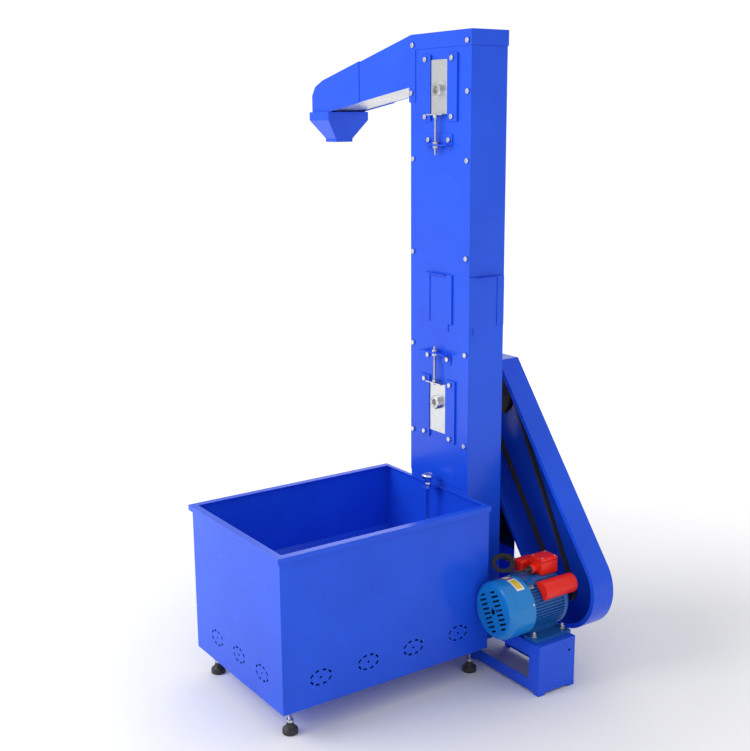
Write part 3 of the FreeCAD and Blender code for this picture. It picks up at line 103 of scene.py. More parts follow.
def buildDust():  # grain dust that settles low down and lies on upward faces
    group, start, end = makeGroup(
        "settledDust",
        [("Top", "NodeSocketFloat", 0.5), ("Amount", "NodeSocketFloat", 0.5)],
        [("Mask", "NodeSocketFloat")])
    where = addNode(group, "ShaderNodeTexCoord")
    split = addNode(group, "ShaderNodeSeparateXYZ")
    height = addRamp(group, 0.0, 1.0, 1.0, 0.0)
    facing = addNode(group, "ShaderNodeSeparateXYZ")
    up = addRamp(group, 0.55, 1.0, 0.35, 1.0)
    speck = addNode(group, "ShaderNodeTexNoise", {"Scale": 160.0, "Detail": 6.0, "Roughness": 0.75})
    spots = addRamp(group, 0.50, 0.72)
    first = addNode(group, "ShaderNodeMath", operation="MULTIPLY")
    second = addNode(group, "ShaderNodeMath", operation="MULTIPLY")
    third = addNode(group, "ShaderNodeMath", operation="MULTIPLY", use_clamp=True)
    link = group.links.new
    link(where.outputs["Object"], split.inputs["Vector"])
    link(where.outputs["Normal"], facing.inputs["Vector"])
    link(where.outputs["Object"], speck.inputs["Vector"])
    link(split.outputs["Z"], height.inputs["Value"])
    link(start.outputs["Top"], height.inputs["From Max"])
    link(facing.outputs["Z"], up.inputs["Value"])
    link(speck.outputs["Fac"], spots.inputs["Value"])
    link(height.outputs["Result"], first.inputs[0])
    link(up.outputs["Result"], first.inputs[1])
    link(first.outputs["Value"], second.inputs[0])
    link(spots.outputs["Result"], second.inputs[1])
    link(second.outputs["Value"], third.inputs[0])
    link(start.outputs["Amount"], third.inputs[1])
    link(third.outputs["Value"], end.inputs["Mask"])
    return group


def buildScuffs():  # short fine rub marks and handling haze
    group, start, end = makeGroup(
        "scuffs",
        [("Scale", "NodeSocketFloat", 30.0), ("Cover", "NodeSocketFloat", 0.35)],
        [("Mask", "NodeSocketFloat")])
    where = addNode(group, "ShaderNodeTexCoord")
    stretch = addNode(group, "ShaderNodeMapping", {"Rotation": (0.3, 0.5, 0.4), "Scale": (1.0, 7.0, 2.0)})
    streaks = addNode(group, "ShaderNodeTexNoise", {"Detail": 8.0, "Roughness": 0.7, "Distortion": 0.6})
    patches = addNode(group, "ShaderNodeTexNoise", {"Scale": 9.0, "Detail": 2.0})
    narrow = addRamp(group, 0.58, 0.75)
    wide = addRamp(group, 0.45, 0.7)
    both = addNode(group, "ShaderNodeMath", operation="MULTIPLY")
    amount = addNode(group, "ShaderNodeMath", operation="MULTIPLY", use_clamp=True)
    link = group.links.new
    link(where.outputs["Object"], stretch.inputs["Vector"])
    link(stretch.outputs["Vector"], streaks.inputs["Vector"])
    link(where.outputs["Object"], patches.inputs["Vector"])
    link(start.outputs["Scale"], streaks.inputs["Scale"])
    link(streaks.outputs["Fac"], narrow.inputs["Value"])
    link(patches.outputs["Fac"], wide.inputs["Value"])
    link(narrow.outputs["Result"], both.inputs[0])
    link(wide.outputs["Result"], both.inputs[1])
    link(both.outputs["Value"], amount.inputs[0])
    link(start.outputs["Cover"], amount.inputs[1])
    link(amount.outputs["Value"], end.inputs["Mask"])
    return group


def buildDrawnGrain():  # directional lines of rolled, drawn or turned metal
    group, start, end = makeGroup(
        "drawnGrain",
        [("Stretch", "NodeSocketVector", (1.0, 1.0, 40.0)), ("Depth", "NodeSocketFloat", 0.2)],
        [("Normal", "NodeSocketVector"), ("Lines", "NodeSocketFloat")])
    where = addNode(group, "ShaderNodeTexCoord")
    scale = addNode(group, "ShaderNodeVectorMath", operation="MULTIPLY")
    lines = addNode(group, "ShaderNodeTexNoise", {"Scale": 60.0, "Detail": 5.0, "Roughness": 0.6})
    bump = addNode(group, "ShaderNodeBump", {"Distance": 0.0002})
    link = group.links.new
    link(where.outputs["Object"], scale.inputs[0])
    link(start.outputs["Stretch"], scale.inputs[1])
    link(scale.outputs["Vector"], lines.inputs["Vector"])
    link(lines.outputs["Fac"], bump.inputs["Height"])
    link(start.outputs["Depth"], bump.inputs["Strength"])
    link(bump.outputs["Normal"], end.inputs["Normal"])
    link(lines.outputs["Fac"], end.inputs["Lines"])
    return group


def buildCastSkin():  # pebbly skin of castings, rubber and moulded parts
    group, start, end = makeGroup(
        "castSkin",
        [("Scale", "NodeSocketFloat", 400.0), ("Depth", "NodeSocketFloat", 0.3)],
        [("Normal", "NodeSocketVector"), ("Pits", "NodeSocketFloat")])
    where = addNode(group, "ShaderNodeTexCoord")
    grain = addNode(group, "ShaderNodeTexNoise", {"Detail": 4.0, "Roughness": 0.65})
    cells = addNode(group, "ShaderNodeTexVoronoi")
    mix = addNode(group, "ShaderNodeMath", {1: 0.35}, operation="MULTIPLY_ADD")
    bump = addNode(group, "ShaderNodeBump", {"Distance": 0.0004})
    link = group.links.new
    for texture in (grain, cells):
        link(where.outputs["Object"], texture.inputs["Vector"])
        link(start.outputs["Scale"], texture.inputs["Scale"])
    link(cells.outputs["Distance"], mix.inputs[0])
    link(grain.outputs["Fac"], mix.inputs[2])
    link(mix.outputs["Value"], bump.inputs["Height"])
    link(start.outputs["Depth"], bump.inputs["Strength"])
    link(bump.outputs["Normal"], end.inputs["Normal"])
    link(grain.outputs["Fac"], end.inputs["Pits"])
    return group


orangePeel, settledDust, scuffs = buildOrangePeel(), buildDust(), buildScuffs()
drawnGrain, castSkin = buildDrawnGrain(), buildCastSkin()
print("shared effects built")


# finishes

def startFinish(name, **sockets):
    material = bpy.data.materials.new(name)
    material.use_nodes = True
    tree = material.node_tree
    shader = tree.nodes["Principled BSDF"]
    for key, number in sockets.items():
        shader.inputs[key].default_value = number
    return material, tree, shader


def placeGroup(tree, group, **values):
    node = tree.nodes.new("ShaderNodeGroup")
    node.node_tree = group
    for key, number in values.items():
        node.inputs[key].default_value = number
    return node


def mixColours(tree, mask, first, second):  # a mix node takes its colours in sockets 6 and 7
    mix = addNode(tree, "ShaderNodeMix", data_type="RGBA")
    for index, colour in ((6, first), (7, second)):
        if isinstance(colour, tuple):
            mix.inputs[index].default_value = (*colour, 1.0)
        else:
            tree.links.new(colour, mix.inputs[index])
    tree.links.new(mask, mix.inputs[0])
    return mix.outputs[2]


def paintFinish(name, look):
    material, tree, shader = startFinish(name, **{
        "Coat Weight": look["coat"], "Coat Roughness": 0.08, "Specular IOR Level": 0.25})
    peel = placeGroup(tree, orangePeel, Scale=look["peelScale"], Depth=look["peelDepth"])
    rub = placeGroup(tree, scuffs, Scale=look["rubScale"], Cover=look["rubCover"])
    dust = placeGroup(tree, settledDust, Top=look["dustTop"], Amount=look["dustAmount"])
    cloud = addRamp(tree, 0.3, 0.7)
    link = tree.links.new
    link(peel.outputs["Cloud"], cloud.inputs["Value"])
    drift = mixColours(tree, cloud.outputs["Result"], look["colour"], look["shade"])
    rubbed = mixColours(tree, rub.outputs["Mask"], drift, look["rubColour"])
    link(mixColours(tree, dust.outputs["Mask"], rubbed, look["dustColour"]), shader.inputs["Base Color"])
    rough = addRamp(tree, 0.0, 1.0, look["gloss"], look["gloss"] + look["dulled"])
    total = addNode(tree, "ShaderNodeMath", operation="ADD", use_clamp=True)
    link(rub.outputs["Mask"], total.inputs[0])
    link(dust.outputs["Mask"], total.inputs[1])
    link(total.outputs["Value"], rough.inputs["Value"])
    link(rough.outputs["Result"], shader.inputs["Roughness"])
    link(peel.outputs["Normal"], shader.inputs["Normal"])
    return material


def metalFinish(name, look):
    material, tree, shader = startFinish(name, Metallic=1.0)
    grain = placeGroup(tree, drawnGrain, Stretch=look["stretch"], Depth=look["depth"])
    rub = placeGroup(tree, scuffs, Scale=look["rubScale"], Cover=look["rubCover"])
    link = tree.links.new
    base = mixColours(tree, grain.outputs["Lines"], look["colour"], look["shade"])
    link(mixColours(tree, rub.outputs["Mask"], base, look["rubColour"]), shader.inputs["Base Color"])
    rough = addRamp(tree, 0.25, 0.75, *look["rough"])
    link(grain.outputs["Lines"], rough.inputs["Value"])
    link(rough.outputs["Result"], shader.inputs["Roughness"])
    link(grain.outputs["Normal"], shader.inputs["Normal"])
    return material


def mouldedFinish(name, look):
    material, tree, shader = startFinish(name, **{"Metallic": look["metal"], "Sheen Weight": look["sheen"]})
    skin = placeGroup(tree, castSkin, Scale=look["scale"], Depth=look["depth"])
    rub = placeGroup(tree, scuffs, Scale=look["rubScale"], Cover=look["rubCover"])
    dust = placeGroup(tree, settledDust, Top=look["dustTop"], Amount=look["dustAmount"])
    link = tree.links.new
    base = mixColours(tree, skin.outputs["Pits"], look["shade"], look["colour"])
    rubbed = mixColours(tree, rub.outputs["Mask"], base, look["rubColour"])
    link(mixColours(tree, dust.outputs["Mask"], rubbed, look["dustColour"]), shader.inputs["Base Color"])
    rough = addRamp(tree, 0.3, 0.7, *look["rough"])
    link(skin.outputs["Pits"], rough.inputs["Value"])
    link(rough.outputs["Result"], shader.inputs["Roughness"])
    link(skin.outputs["Normal"], shader.inputs["Normal"])
    return material


def galvanisedFinish(name, look):  # zinc spangle: flat crystals a few millimetres across
    material, tree, shader = startFinish(name, Metallic=1.0)
    where = addNode(tree, "ShaderNodeTexCoord")
    crystals = addNode(tree, "ShaderNodeTexVoronoi", {"Scale": look["scale"], "Randomness": 1.0})
    grey = addNode(tree, "ShaderNodeSeparateColor")
    tone = addRamp(tree, 0.0, 1.0, *look["tone"])
    rough = addRamp(tree, 0.0, 1.0, *look["rough"])
    dust = placeGroup(tree, settledDust, Top=look["dustTop"], Amount=look["dustAmount"])
    link = tree.links.new
    link(where.outputs["Object"], crystals.inputs["Vector"])
    link(crystals.outputs["Color"], grey.inputs["Color"])
    link(grey.outputs["Red"], tone.inputs["Value"])
    link(grey.outputs["Green"], rough.inputs["Value"])
    colour = mixColours(tree, tone.outputs["Result"], look["dark"], look["light"])
    link(mixColours(tree, dust.outputs["Mask"], colour, look["dustColour"]), shader.inputs["Base Color"])
    link(rough.outputs["Result"], shader.inputs["Roughness"])
    return material


bluePaint = {
    "colour": (0.012, 0.098, 0.82), "shade": (0.010, 0.080, 0.72), "rubColour": (0.05, 0.14, 0.85),
    "dustColour": (0.16, 0.22, 0.62), "coat": 0.05, "gloss": 0.26, "dulled": 0.22,
    "peelScale": 420.0, "peelDepth": 0.05, "rubScale": 26.0, "rubCover": 0.28,
    "dustTop": 0.55, "dustAmount": 0.30}
motorPaint = dict(
    bluePaint, colour=(0.008, 0.13, 0.46), shade=(0.006, 0.09, 0.36), rubColour=(0.06, 0.26, 0.60),
    dustColour=(0.20, 0.30, 0.45), gloss=0.32, peelScale=700.0, peelDepth=0.09, dustAmount=0.35, coat=0.15)
coverPaint = dict(
    motorPaint, colour=(0.006, 0.24, 0.66), shade=(0.005, 0.18, 0.56), rubColour=(0.05, 0.38, 0.76), coat=0.3)
redPaint = dict(
    bluePaint, colour=(0.90, 0.022, 0.008), shade=(0.80, 0.014, 0.006), rubColour=(0.88, 0.10, 0.06),
    dustColour=(0.6, 0.26, 0.18), gloss=0.34, peelScale=900.0, coat=0.12)
# painted shade: a near-black coat standing in for the shadow inside the upright's channel
uprightShadePaint = dict(
    bluePaint, colour=(0.012, 0.016, 0.035), shade=(0.008, 0.010, 0.024), rubColour=(0.05, 0.055, 0.08),
    gloss=0.34, coat=0.1)
galvanisedLook = {
    "scale": 160.0, "tone": (0.2, 0.9), "rough": (0.28, 0.46), "dark": (0.46, 0.47, 0.49),
    "light": (0.74, 0.75, 0.77), "dustColour": (0.5, 0.42, 0.3), "dustTop": 3.0, "dustAmount": 0.25}
zincLook = {
    "colour": (0.72, 0.73, 0.75), "shade": (0.52, 0.53, 0.55), "rubColour": (0.80, 0.80, 0.80),
    "stretch": (1.0, 1.0, 14.0), "depth": 0.12, "rough": (0.22, 0.40), "rubScale": 60.0, "rubCover": 0.5}
steelLook = dict(
    zincLook, colour=(0.58, 0.57, 0.56), shade=(0.36, 0.35, 0.34), rough=(0.2, 0.36),
    stretch=(1.0, 30.0, 1.0))
polishedLook = dict(
    zincLook, colour=(0.86, 0.86, 0.88), shade=(0.78, 0.78, 0.80), depth=0.03, rough=(0.06, 0.14))
brassLook = dict(
    zincLook, colour=(0.83, 0.72, 0.46), shade=(0.70, 0.58, 0.33), depth=0.05, rough=(0.16, 0.28))
rubberLook = {
    "colour": (0.020, 0.020, 0.022), "shade": (0.009, 0.009, 0.010), "rubColour": (0.06, 0.06, 0.06),
    "scale": 900.0, "depth": 0.25, "rough": (0.5, 0.72), "rubScale": 40.0, "rubCover": 0.4,
    "dustColour": (0.35, 0.29, 0.2), "dustTop": 0.3, "dustAmount": 0.5, "metal": 0.0, "sheen": 0.1}
scoopLook = dict(rubberLook, colour=(0.72, 0.71, 0.64), shade=(0.62, 0.6, 0.52), rough=(0.4, 0.55))
castLook = dict(
    rubberLook, colour=(0.22, 0.22, 0.23), shade=(0.12, 0.12, 0.12), rubColour=(0.4, 0.4, 0.4),
    metal=1.0, scale=500.0, sheen=0.0, rough=(0.38, 0.6))
bearingLook = dict(castLook, colour=(0.74, 0.74, 0.76), shade=(0.58, 0.58, 0.60), rough=(0.2, 0.34))
sheaveLook = dict(castLook, colour=(0.03, 0.03, 0.033), shade=(0.014, 0.014, 0.016), metal=0.4)
finishes = {
    "blue_coat": paintFinish("bluePowderCoat", bluePaint),
    "motor_blue": paintFinish("motorPaint", motorPaint),
    "cover_blue": paintFinish("fanCoverPaint", coverPaint),
    "red_coat": paintFinish("redCovers", redPaint),
    "dark_coat": paintFinish("darkUpright", uprightShadePaint),
    "galvanised": galvanisedFinish("galvanisedSheet", galvanisedLook),
    "zinc": metalFinish("brightZinc", zincLook),
    "steel": metalFinish("groundShaft", steelLook),
    "polished": metalFinish("polishedKnob", polishedLook),
    "brass": metalFinish("plugPins", brassLook),
    "cast_steel": mouldedFinish("pulleyCasting", castLook),
    "bearing": mouldedFinish("bearingRing", bearingLook),
    "sheave_black": mouldedFinish("sheaveCasting", sheaveLook),
    "belt_fabric": mouldedFinish("bucketBeltRubber", rubberLook),
    "bucket_plastic": mouldedFinish("scoopPlastic", scoopLook),
    "vee_rubber": mouldedFinish("driveBeltRubber", dict(rubberLook, scale=1500.0, depth=0.4)),
    "foot_black": mouldedFinish("footRubber", dict(rubberLook, rough=(0.4, 0.6), dustAmount=0.7)),
    "fan_plastic": mouldedFinish("fanPlastic", dict(rubberLook, rough=(0.35, 0.5))),
    "cord_rubber": mouldedFinish("cordSheath", dict(rubberLook, rough=(0.42, 0.6), depth=0.15)),
    "plug_plastic": mouldedFinish("plugMoulding", dict(rubberLook, rough=(0.32, 0.5), depth=0.12)),
}
slotOf = {entry["node"]: entry["material_slot"] for entry in record["subparts"]}
for nodeName, cadObject in nodes.items():
    cadObject.data.materials.clear()
    cadObject.data.materials.append(finishes[slotOf[nodeName]])
print("finishes placed on", len(nodes), "nodes")


# tools for new pieces

axisY, axisZ = Vector((0, 1, 0)), Vector((0, 0, 1))


def makeObject(name, shape, finish, sharpAngle=35.0):  # faces are smooth up to the sharp angle
    mesh = bpy.data.meshes.new(name)
    shape.to_mesh(mesh)
    shape.free()
    mesh.materials.append(finish)
    mesh.shade_smooth()
    mesh.set_sharp_from_angle(angle=math.radians(sharpAngle))
    piece = bpy.data.objects.new(name, mesh)
    bpy.context.scene.collection.objects.link(piece)
    return piece


def makePiece(name, shape, slotName, body, sharpAngle=35.0, finish=None):
    bmesh.ops.recalc_face_normals(shape, faces=shape.faces)
    piece = makeObject(name, shape, finish or finishes[slotName], sharpAngle)
    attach(piece, body)
    return piece


def weldedCopy(node):  # the node's own shape with its loose corners joined
    shape = bmesh.new()
    shape.from_mesh(nodes[node].data)
    bmesh.ops.remove_doubles(shape, verts=shape.verts, dist=0.00002)
    return shape


def cleanCopy(node):  # the same with its flat facets merged, ready for rounding
    shape = weldedCopy(node)
    bmesh.ops.dissolve_limit(shape, angle_limit=math.radians(0.5), verts=shape.verts, edges=shape.edges)
    return shape


def roundEdges(shape, width, foldAngle=32.0):
    sharp = [edge for edge in shape.edges
             if len(edge.link_faces) == 2 and edge.calc_face_angle(0.0) > math.radians(foldAngle)]
    bmesh.ops.bevel(shape, geom=sharp, offset=width, offset_type="OFFSET", segments=2, profile=0.5,
                    affect="EDGES", clamp_overlap=True, material=-1)


def bevelAround(shape, verts, width, segments):  # every edge of one block or nut
    edges = list({edge for vert in verts for edge in vert.link_edges})
    bmesh.ops.bevel(shape, geom=edges, offset=width, segments=segments, profile=0.5, affect="EDGES",
                    material=-1)


def cutAcross(shape, spot, normal, clearOuter=False):
    geometry = [*shape.verts, *shape.edges, *shape.faces]
    bmesh.ops.bisect_plane(shape, geom=geometry, plane_co=spot, plane_no=normal, clear_outer=clearOuter)


def evenNormals(piece):  # keeps large flat sheets flat beside their rounded edges
    weighted = piece.modifiers.new("evenNormals", "WEIGHTED_NORMAL")
    weighted.mode = "FACE_AREA"
    weighted.weight = 100
    weighted.keep_sharp = True


postSplit = 0.237  # the upright carries painted shade, a near-black coat, above its blue foot plate


def softenNode(node, width):
    shape = cleanCopy(node)
    roundEdges(shape, width * mm)
    if node == "rear_post":
        cutAcross(shape, (0, 0, postSplit), axisZ)
    piece = makePiece(node + "Soft", shape, slotOf[node], bodyOf[node], 40.0)
    evenNormals(piece)
    # above the split the upright takes the painted shade coat, below it the blue foot plate
    if node == "rear_post":
        piece.data.materials.append(finishes["blue_coat"])
        for face in piece.data.polygons:
            face.material_index = 1 if face.center.z < postSplit else 0
    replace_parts(piece, node)


def inMetres(profile, lift=0.0):  # a profile of (radius, height) pairs from millimetres, lifted on the way
    return [(radius * mm, (lift + height) * mm) for radius, height in profile]


def turnShape(shape, points, centre, axis, steps):  # spins a profile of (radius, height) pairs
    side = Vector((1, 0, 0)) if abs(axis.x) < 0.9 else Vector((0, 1, 0))
    side = (side - axis * side.dot(axis)).normalized()
    verts = [shape.verts.new(centre + side * radius + axis * height) for radius, height in points]
    edges = [shape.edges.new(pair) for pair in zip(verts, verts[1:])]
    bmesh.ops.spin(shape, geom=verts + edges, cent=centre, axis=axis, angle=2 * math.pi, steps=steps,
                   use_merge=True)
    bmesh.ops.remove_doubles(shape, verts=shape.verts, dist=0.00001)
    return shape


def addBlock(shape, low, high, bevel=0.0):
    size, middle = Vector(high) - Vector(low), (Vector(high) + Vector(low)) / 2
    place = Matrix.Translation(middle) @ Matrix.Diagonal((*size, 1.0))
    made = bmesh.ops.create_cube(shape, size=1.0, matrix=place)["verts"]
    if bevel:
        bevelAround(shape, made, bevel, 3)


# folded sheet metal gets small outside radii, in millimetres

sheetRounding = {
    "leg_casing": 0.8, "front_panel": 0.5, "head_cap": 0.8, "spout_end": 0.8, "spout_floor": 0.4,
    "outlet_collar": 0.7, "hopper": 0.8, "hopper_chute": 0.5, "motor_base": 0.8, "belt_guard": 0.6,
    "rear_post": 0.8, "leg_stand": 0.8, "guard_bracket": 0.5, "front_door": 0.6, "side_door": 0.6,
    "door_guides": 0.5, "slide_rails": 0.5, "screw_brackets": 0.6, "feed_gate": 0.4,
    "head_slide_front": 0.5, "head_slide_rear": 0.5, "drive_slide_front": 0.5, "drive_slide_rear": 0.5,
    "casing_bolts": 0.9, "screw_nuts": 0.7, "motor_bolts": 0.6, "motor_frame": 0.5, "fan_cover": 0.5,
    "end_shield": 1.2, "capacitor_near": 2.2, "capacitor_far": 2.2, "cord_gland": 0.8}
for nodeName, width in sheetRounding.items():
    softenNode(nodeName, width)
print("edges rounded on", len(sheetRounding), "nodes")


# bearings, shaft ends and adjusting screws

headLevel, driveLevel = 1.572, 0.728  # of the two pulley shafts
bearingUnit = {"ringOuter": 19.0, "ringInner": 10.05, "length": 13.0, "start": 62.9, "groove": 2.4}
screwThread = {"radius": 4.0, "root": 3.45, "pitch": 1.25, "lead": 0.5, "tail": 0.6}
screwLook = {"side": 74.0, "nutRadius": 7.5, "nutTall": 6.4, "nutInset": 10.8, "nutBevel": 0.7}


def makeBearings(name, level, body, node):
    shape = bmesh.new()
    unit = bearingUnit
    for side in (-1, 1):
        face, low = unit["start"] + unit["length"], unit["start"]
        profile = [
            (unit["ringInner"], low), (unit["ringOuter"], low), (unit["ringOuter"], face - 2.0),
            (unit["ringOuter"] - 0.8, face - 0.8), (unit["ringOuter"] - 2.0, face),
            (unit["ringOuter"] - 4.6, face), (unit["ringOuter"] - 5.2, face - unit["groove"]),
            (unit["ringInner"] + 3.4, face - unit["groove"]), (unit["ringInner"] + 2.8, face - 0.4),
            (unit["ringInner"], face - 0.4), (unit["ringInner"], low)]
        turnShape(shape, inMetres(profile), Vector((0, 0, level)), axisY * side, 56)
    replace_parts(makePiece(name, shape, "bearing", body, 30.0), node)


def threadProfile(thread, start, count):  # a turned rod whose thread is rings of its crest and root radius
    crest, root, pitch = thread["radius"] * mm, thread["root"] * mm, thread["pitch"] * mm
    foot = start - thread["lead"] * mm
    points = [(0.0, foot), (root, foot)]
    for step in range(count):
        points += [(crest, start + (step + 0.5) * pitch), (root, start + (step + 1.0) * pitch)]
    return points + [(0.0, start + (count + thread["tail"]) * pitch)]


def makeScrews(name, node, nutBelow):
    look, shape = screwLook, bmesh.new()
    low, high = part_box(node)
    inset = look["nutInset"] * mm
    nutLevel = low.z + inset if nutBelow else high.z - inset
    count = int((high.z - low.z) / (screwThread["pitch"] * mm)) - 2
    profile = threadProfile(screwThread, low.z + screwThread["lead"] * mm, count)
    for side in (-look["side"] * mm, look["side"] * mm):
        turnShape(shape, profile, Vector((0, side, 0)), axisZ, 20)
        nut = bmesh.ops.create_cone(
            shape, cap_ends=True, segments=6, radius1=look["nutRadius"] * mm, radius2=look["nutRadius"] * mm,
            depth=look["nutTall"] * mm, matrix=Matrix.Translation((0, side, nutLevel)))["verts"]
        bevelAround(shape, nut, look["nutBevel"] * mm, 2)
    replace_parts(makePiece(name, shape, "zinc", bodyOf[node], 35.0), node)


makeBearings("headBearings", headLevel, "head_takeup", "head_bearings")
makeBearings("driveBearings", driveLevel, "drive_takeup", "drive_bearings")
makeScrews("headScrews", "head_screws", False)
makeScrews("driveScrews", "drive_screws", True)

shaftEnd = {"radius": 9.9, "reach": 68.6, "centre": 3.2, "depth": 3.0, "chamfer": 1.0, "skirt": 4.0}


def makeShaftEnds(name, level, body, sides):  # centre-drilled end faces with a chamfer
    radius, reach, shape = shaftEnd["radius"], shaftEnd["reach"], bmesh.new()
    points = [(0.0, reach - shaftEnd["depth"]), (shaftEnd["centre"], reach),
              (radius - shaftEnd["chamfer"], reach), (radius, reach - shaftEnd["chamfer"]),
              (radius, reach - shaftEnd["skirt"]), (0.0, reach - shaftEnd["skirt"])]
    for side in sides:
        turnShape(shape, inMetres(points), Vector((0, 0, level)), axisY * side, 40)
    makePiece(name, shape, "steel", body, 30.0)


makeShaftEnds("headShaftEnds", headLevel, "head_roller", (-1, 1))
makeShaftEnds("driveShaftEnds", driveLevel, "drive_roller", (-1,))
print("take-ups detailed")


# gate handle and feet

handleProfile = [
    (0.0, 220.0), (5.0, 220.0), (5.0, 486.0), (5.0, 489.0), (8.6, 489.5), (9.2, 491.0), (9.2, 497.0),
    (8.2, 499.0), (8.2, 503.0), (10.0, 507.0), (13.8, 511.5), (16.2, 514.0), (17.0, 516.5), (17.0, 519.5),
    (16.2, 522.0), (14.6, 523.6), (11.0, 524.0), (9.0, 522.6), (4.0, 522.2), (0.0, 522.2)]
low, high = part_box("gate_handle")
centre = Vector(((low.x + high.x) / 2, (low.y + high.y) / 2, 0))
shape = turnShape(bmesh.new(), inMetres(handleProfile), centre, axisZ, 56)
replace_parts(makePiece("gateHandle", shape, "polished", "gate", 32.0), "gate_handle")

footProfile = [
    (0.0, 0.0), (19.0, 0.0), (20.0, 1.0), (20.0, 5.0), (19.2, 6.2), (19.6, 7.4), (19.6, 12.0), (18.4, 14.2),
    (13.0, 18.0), (9.4, 24.0), (8.6, 28.0), (8.6, 30.0), (5.0, 30.0)]
hexNut = [(6.0, 0.0), (8.9, 0.0), (9.5, 0.6), (9.5, 6.4), (8.9, 7.0), (6.0, 7.0), (6.0, 0.0)]
footStud = {
    "radius": 5.0, "root": 4.3, "pitch": 1.5, "lead": 1.0, "tail": 0.0, "nutLevel": 30.0, "lockLevel": 66.4}
lockNuts = bmesh.new()
for nodeName in ("foot_front_left", "foot_front_right", "foot_rear_left", "foot_rear_right"):
    low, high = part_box(nodeName)
    centre = Vector(((low.x + high.x) / 2, (low.y + high.y) / 2, 0))
    pad = turnShape(bmesh.new(), inMetres(footProfile), centre, axisZ, 48)
    title = nodeName.replace("_", " ").title().replace(" ", "")
    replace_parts(makePiece("pad" + title, pad, "foot_black", bodyOf[nodeName], 40.0), nodeName)
    start = footStud["nutLevel"] * mm
    count = int((high.z - start - footStud["lead"] * mm) / (footStud["pitch"] * mm))
    stud = turnShape(bmesh.new(), threadProfile(footStud, start, count), centre, axisZ, 20)
    turnShape(stud, inMetres(hexNut, footStud["nutLevel"]), centre, axisZ, 6)
    turnShape(lockNuts, inMetres(hexNut, footStud["lockLevel"]), centre, axisZ, 6)
    makePiece("stud" + title, stud, "zinc", bodyOf[nodeName], 35.0)
makePiece("lockNuts", lockNuts, "zinc", "elevator_frame", 35.0)
print("handle and feet turned")


# motor dress: terminal box, screws, blank plates

motorX, motorZ = 0.305, 0.222  # of the motor's shaft

# in millimetres: each foot and top is a level below the top of the whole box
terminalBox = {
    "boxTop": 12.5, "boxBevel": 3.0, "seamFoot": 13.5, "seamTop": 11.5, "seamInset": 1.2,
    "lidFoot": 11.8, "lidTop": 0.8, "lidBevel": 3.6}
coverScrew = {
    "lidInset": 7.0, "lidSink": 1.0, "lidRadius": 2.6,
    "fanInset": 6.0, "fanReach": 78.8, "fanRadius": 3.4, "fanCount": 4, "fanTurn": 20.0}


def addScrewHead(shape, centre, axis, radius):
    points = [(0.0, 2.2), (radius * 0.55, 2.0), (radius * 0.9, 1.3), (radius, 0.0), (0.0, -0.6)]
    turnShape(shape, inMetres(points), centre, axis, 20)


def makeTerminalBox(low, high):  # a box, its narrower seam and its lid
    look, lid = {key: size * mm for key, size in terminalBox.items()}, bmesh.new()
    inset = Vector((look["seamInset"], look["seamInset"], 0))
    seamFoot = Vector((low.x, low.y, high.z - look["seamFoot"]))
    lidFoot = Vector((low.x, low.y, high.z - look["lidFoot"]))
    addBlock(lid, low, high - axisZ * look["boxTop"], look["boxBevel"])
    addBlock(lid, seamFoot + inset, high - axisZ * look["seamTop"] - inset)
    addBlock(lid, lidFoot, high - axisZ * look["lidTop"], look["lidBevel"])
    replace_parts(makePiece("junctionBox", lid, "red_coat", "motor", 40.0), "junction_box")


def makeCoverScrews(low, high):  # at the lid's corners and round the fan cover
    look, screws = coverScrew, bmesh.new()
    inset = look["lidInset"] * mm
    for x in (low.x + inset, high.x - inset):
        for y in (low.y + inset, high.y - inset):
            addScrewHead(screws, Vector((x, y, high.z - look["lidSink"] * mm)), axisZ, look["lidRadius"])
    low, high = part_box("fan_cover")
    middle = Vector((motorX, high.y - look["fanInset"] * mm, motorZ))
    for step in range(look["fanCount"]):
        turn = math.radians(look["fanTurn"] + 360 / look["fanCount"] * step)
        out = Vector((math.cos(turn), 0, math.sin(turn)))
        addScrewHead(screws, middle + out * look["fanReach"] * mm, out, look["fanRadius"])
    makePiece("coverScrews", screws, "zinc", "motor", 40.0)


# blank plates bent round the motor: paper-thin, with a plain border and no lettering
plateLooks = {
    "coverPlate": {"turn": (54.0, 88.0), "y": (-67.0, -41.0), "radius": 79.4, "paper": (0.80, 0.55, 0.02),
                   "rim": (0.85, 0.84, 0.80), "border": 0.12},
    "smallPlate": {"turn": (91.0, 116.0), "y": (-66.0, -43.0), "radius": 79.4, "paper": (0.86, 0.86, 0.84),
                   "rim": (0.62, 0.04, 0.02), "border": 0.16},
    "framePlate": {"turn": (52.0, 78.0), "y": (-33.0, -8.0), "radius": 75.6, "paper": (0.10, 0.12, 0.17),
                   "rim": (0.42, 0.44, 0.48), "border": 0.07}}
plateSurface = {
    "rough": 0.34, "coat": 0.2, "peelScale": 600.0, "peelDepth": 0.04,
    "rubScale": 70.0, "rubCover": 0.5, "rubColour": (0.45, 0.42, 0.36)}


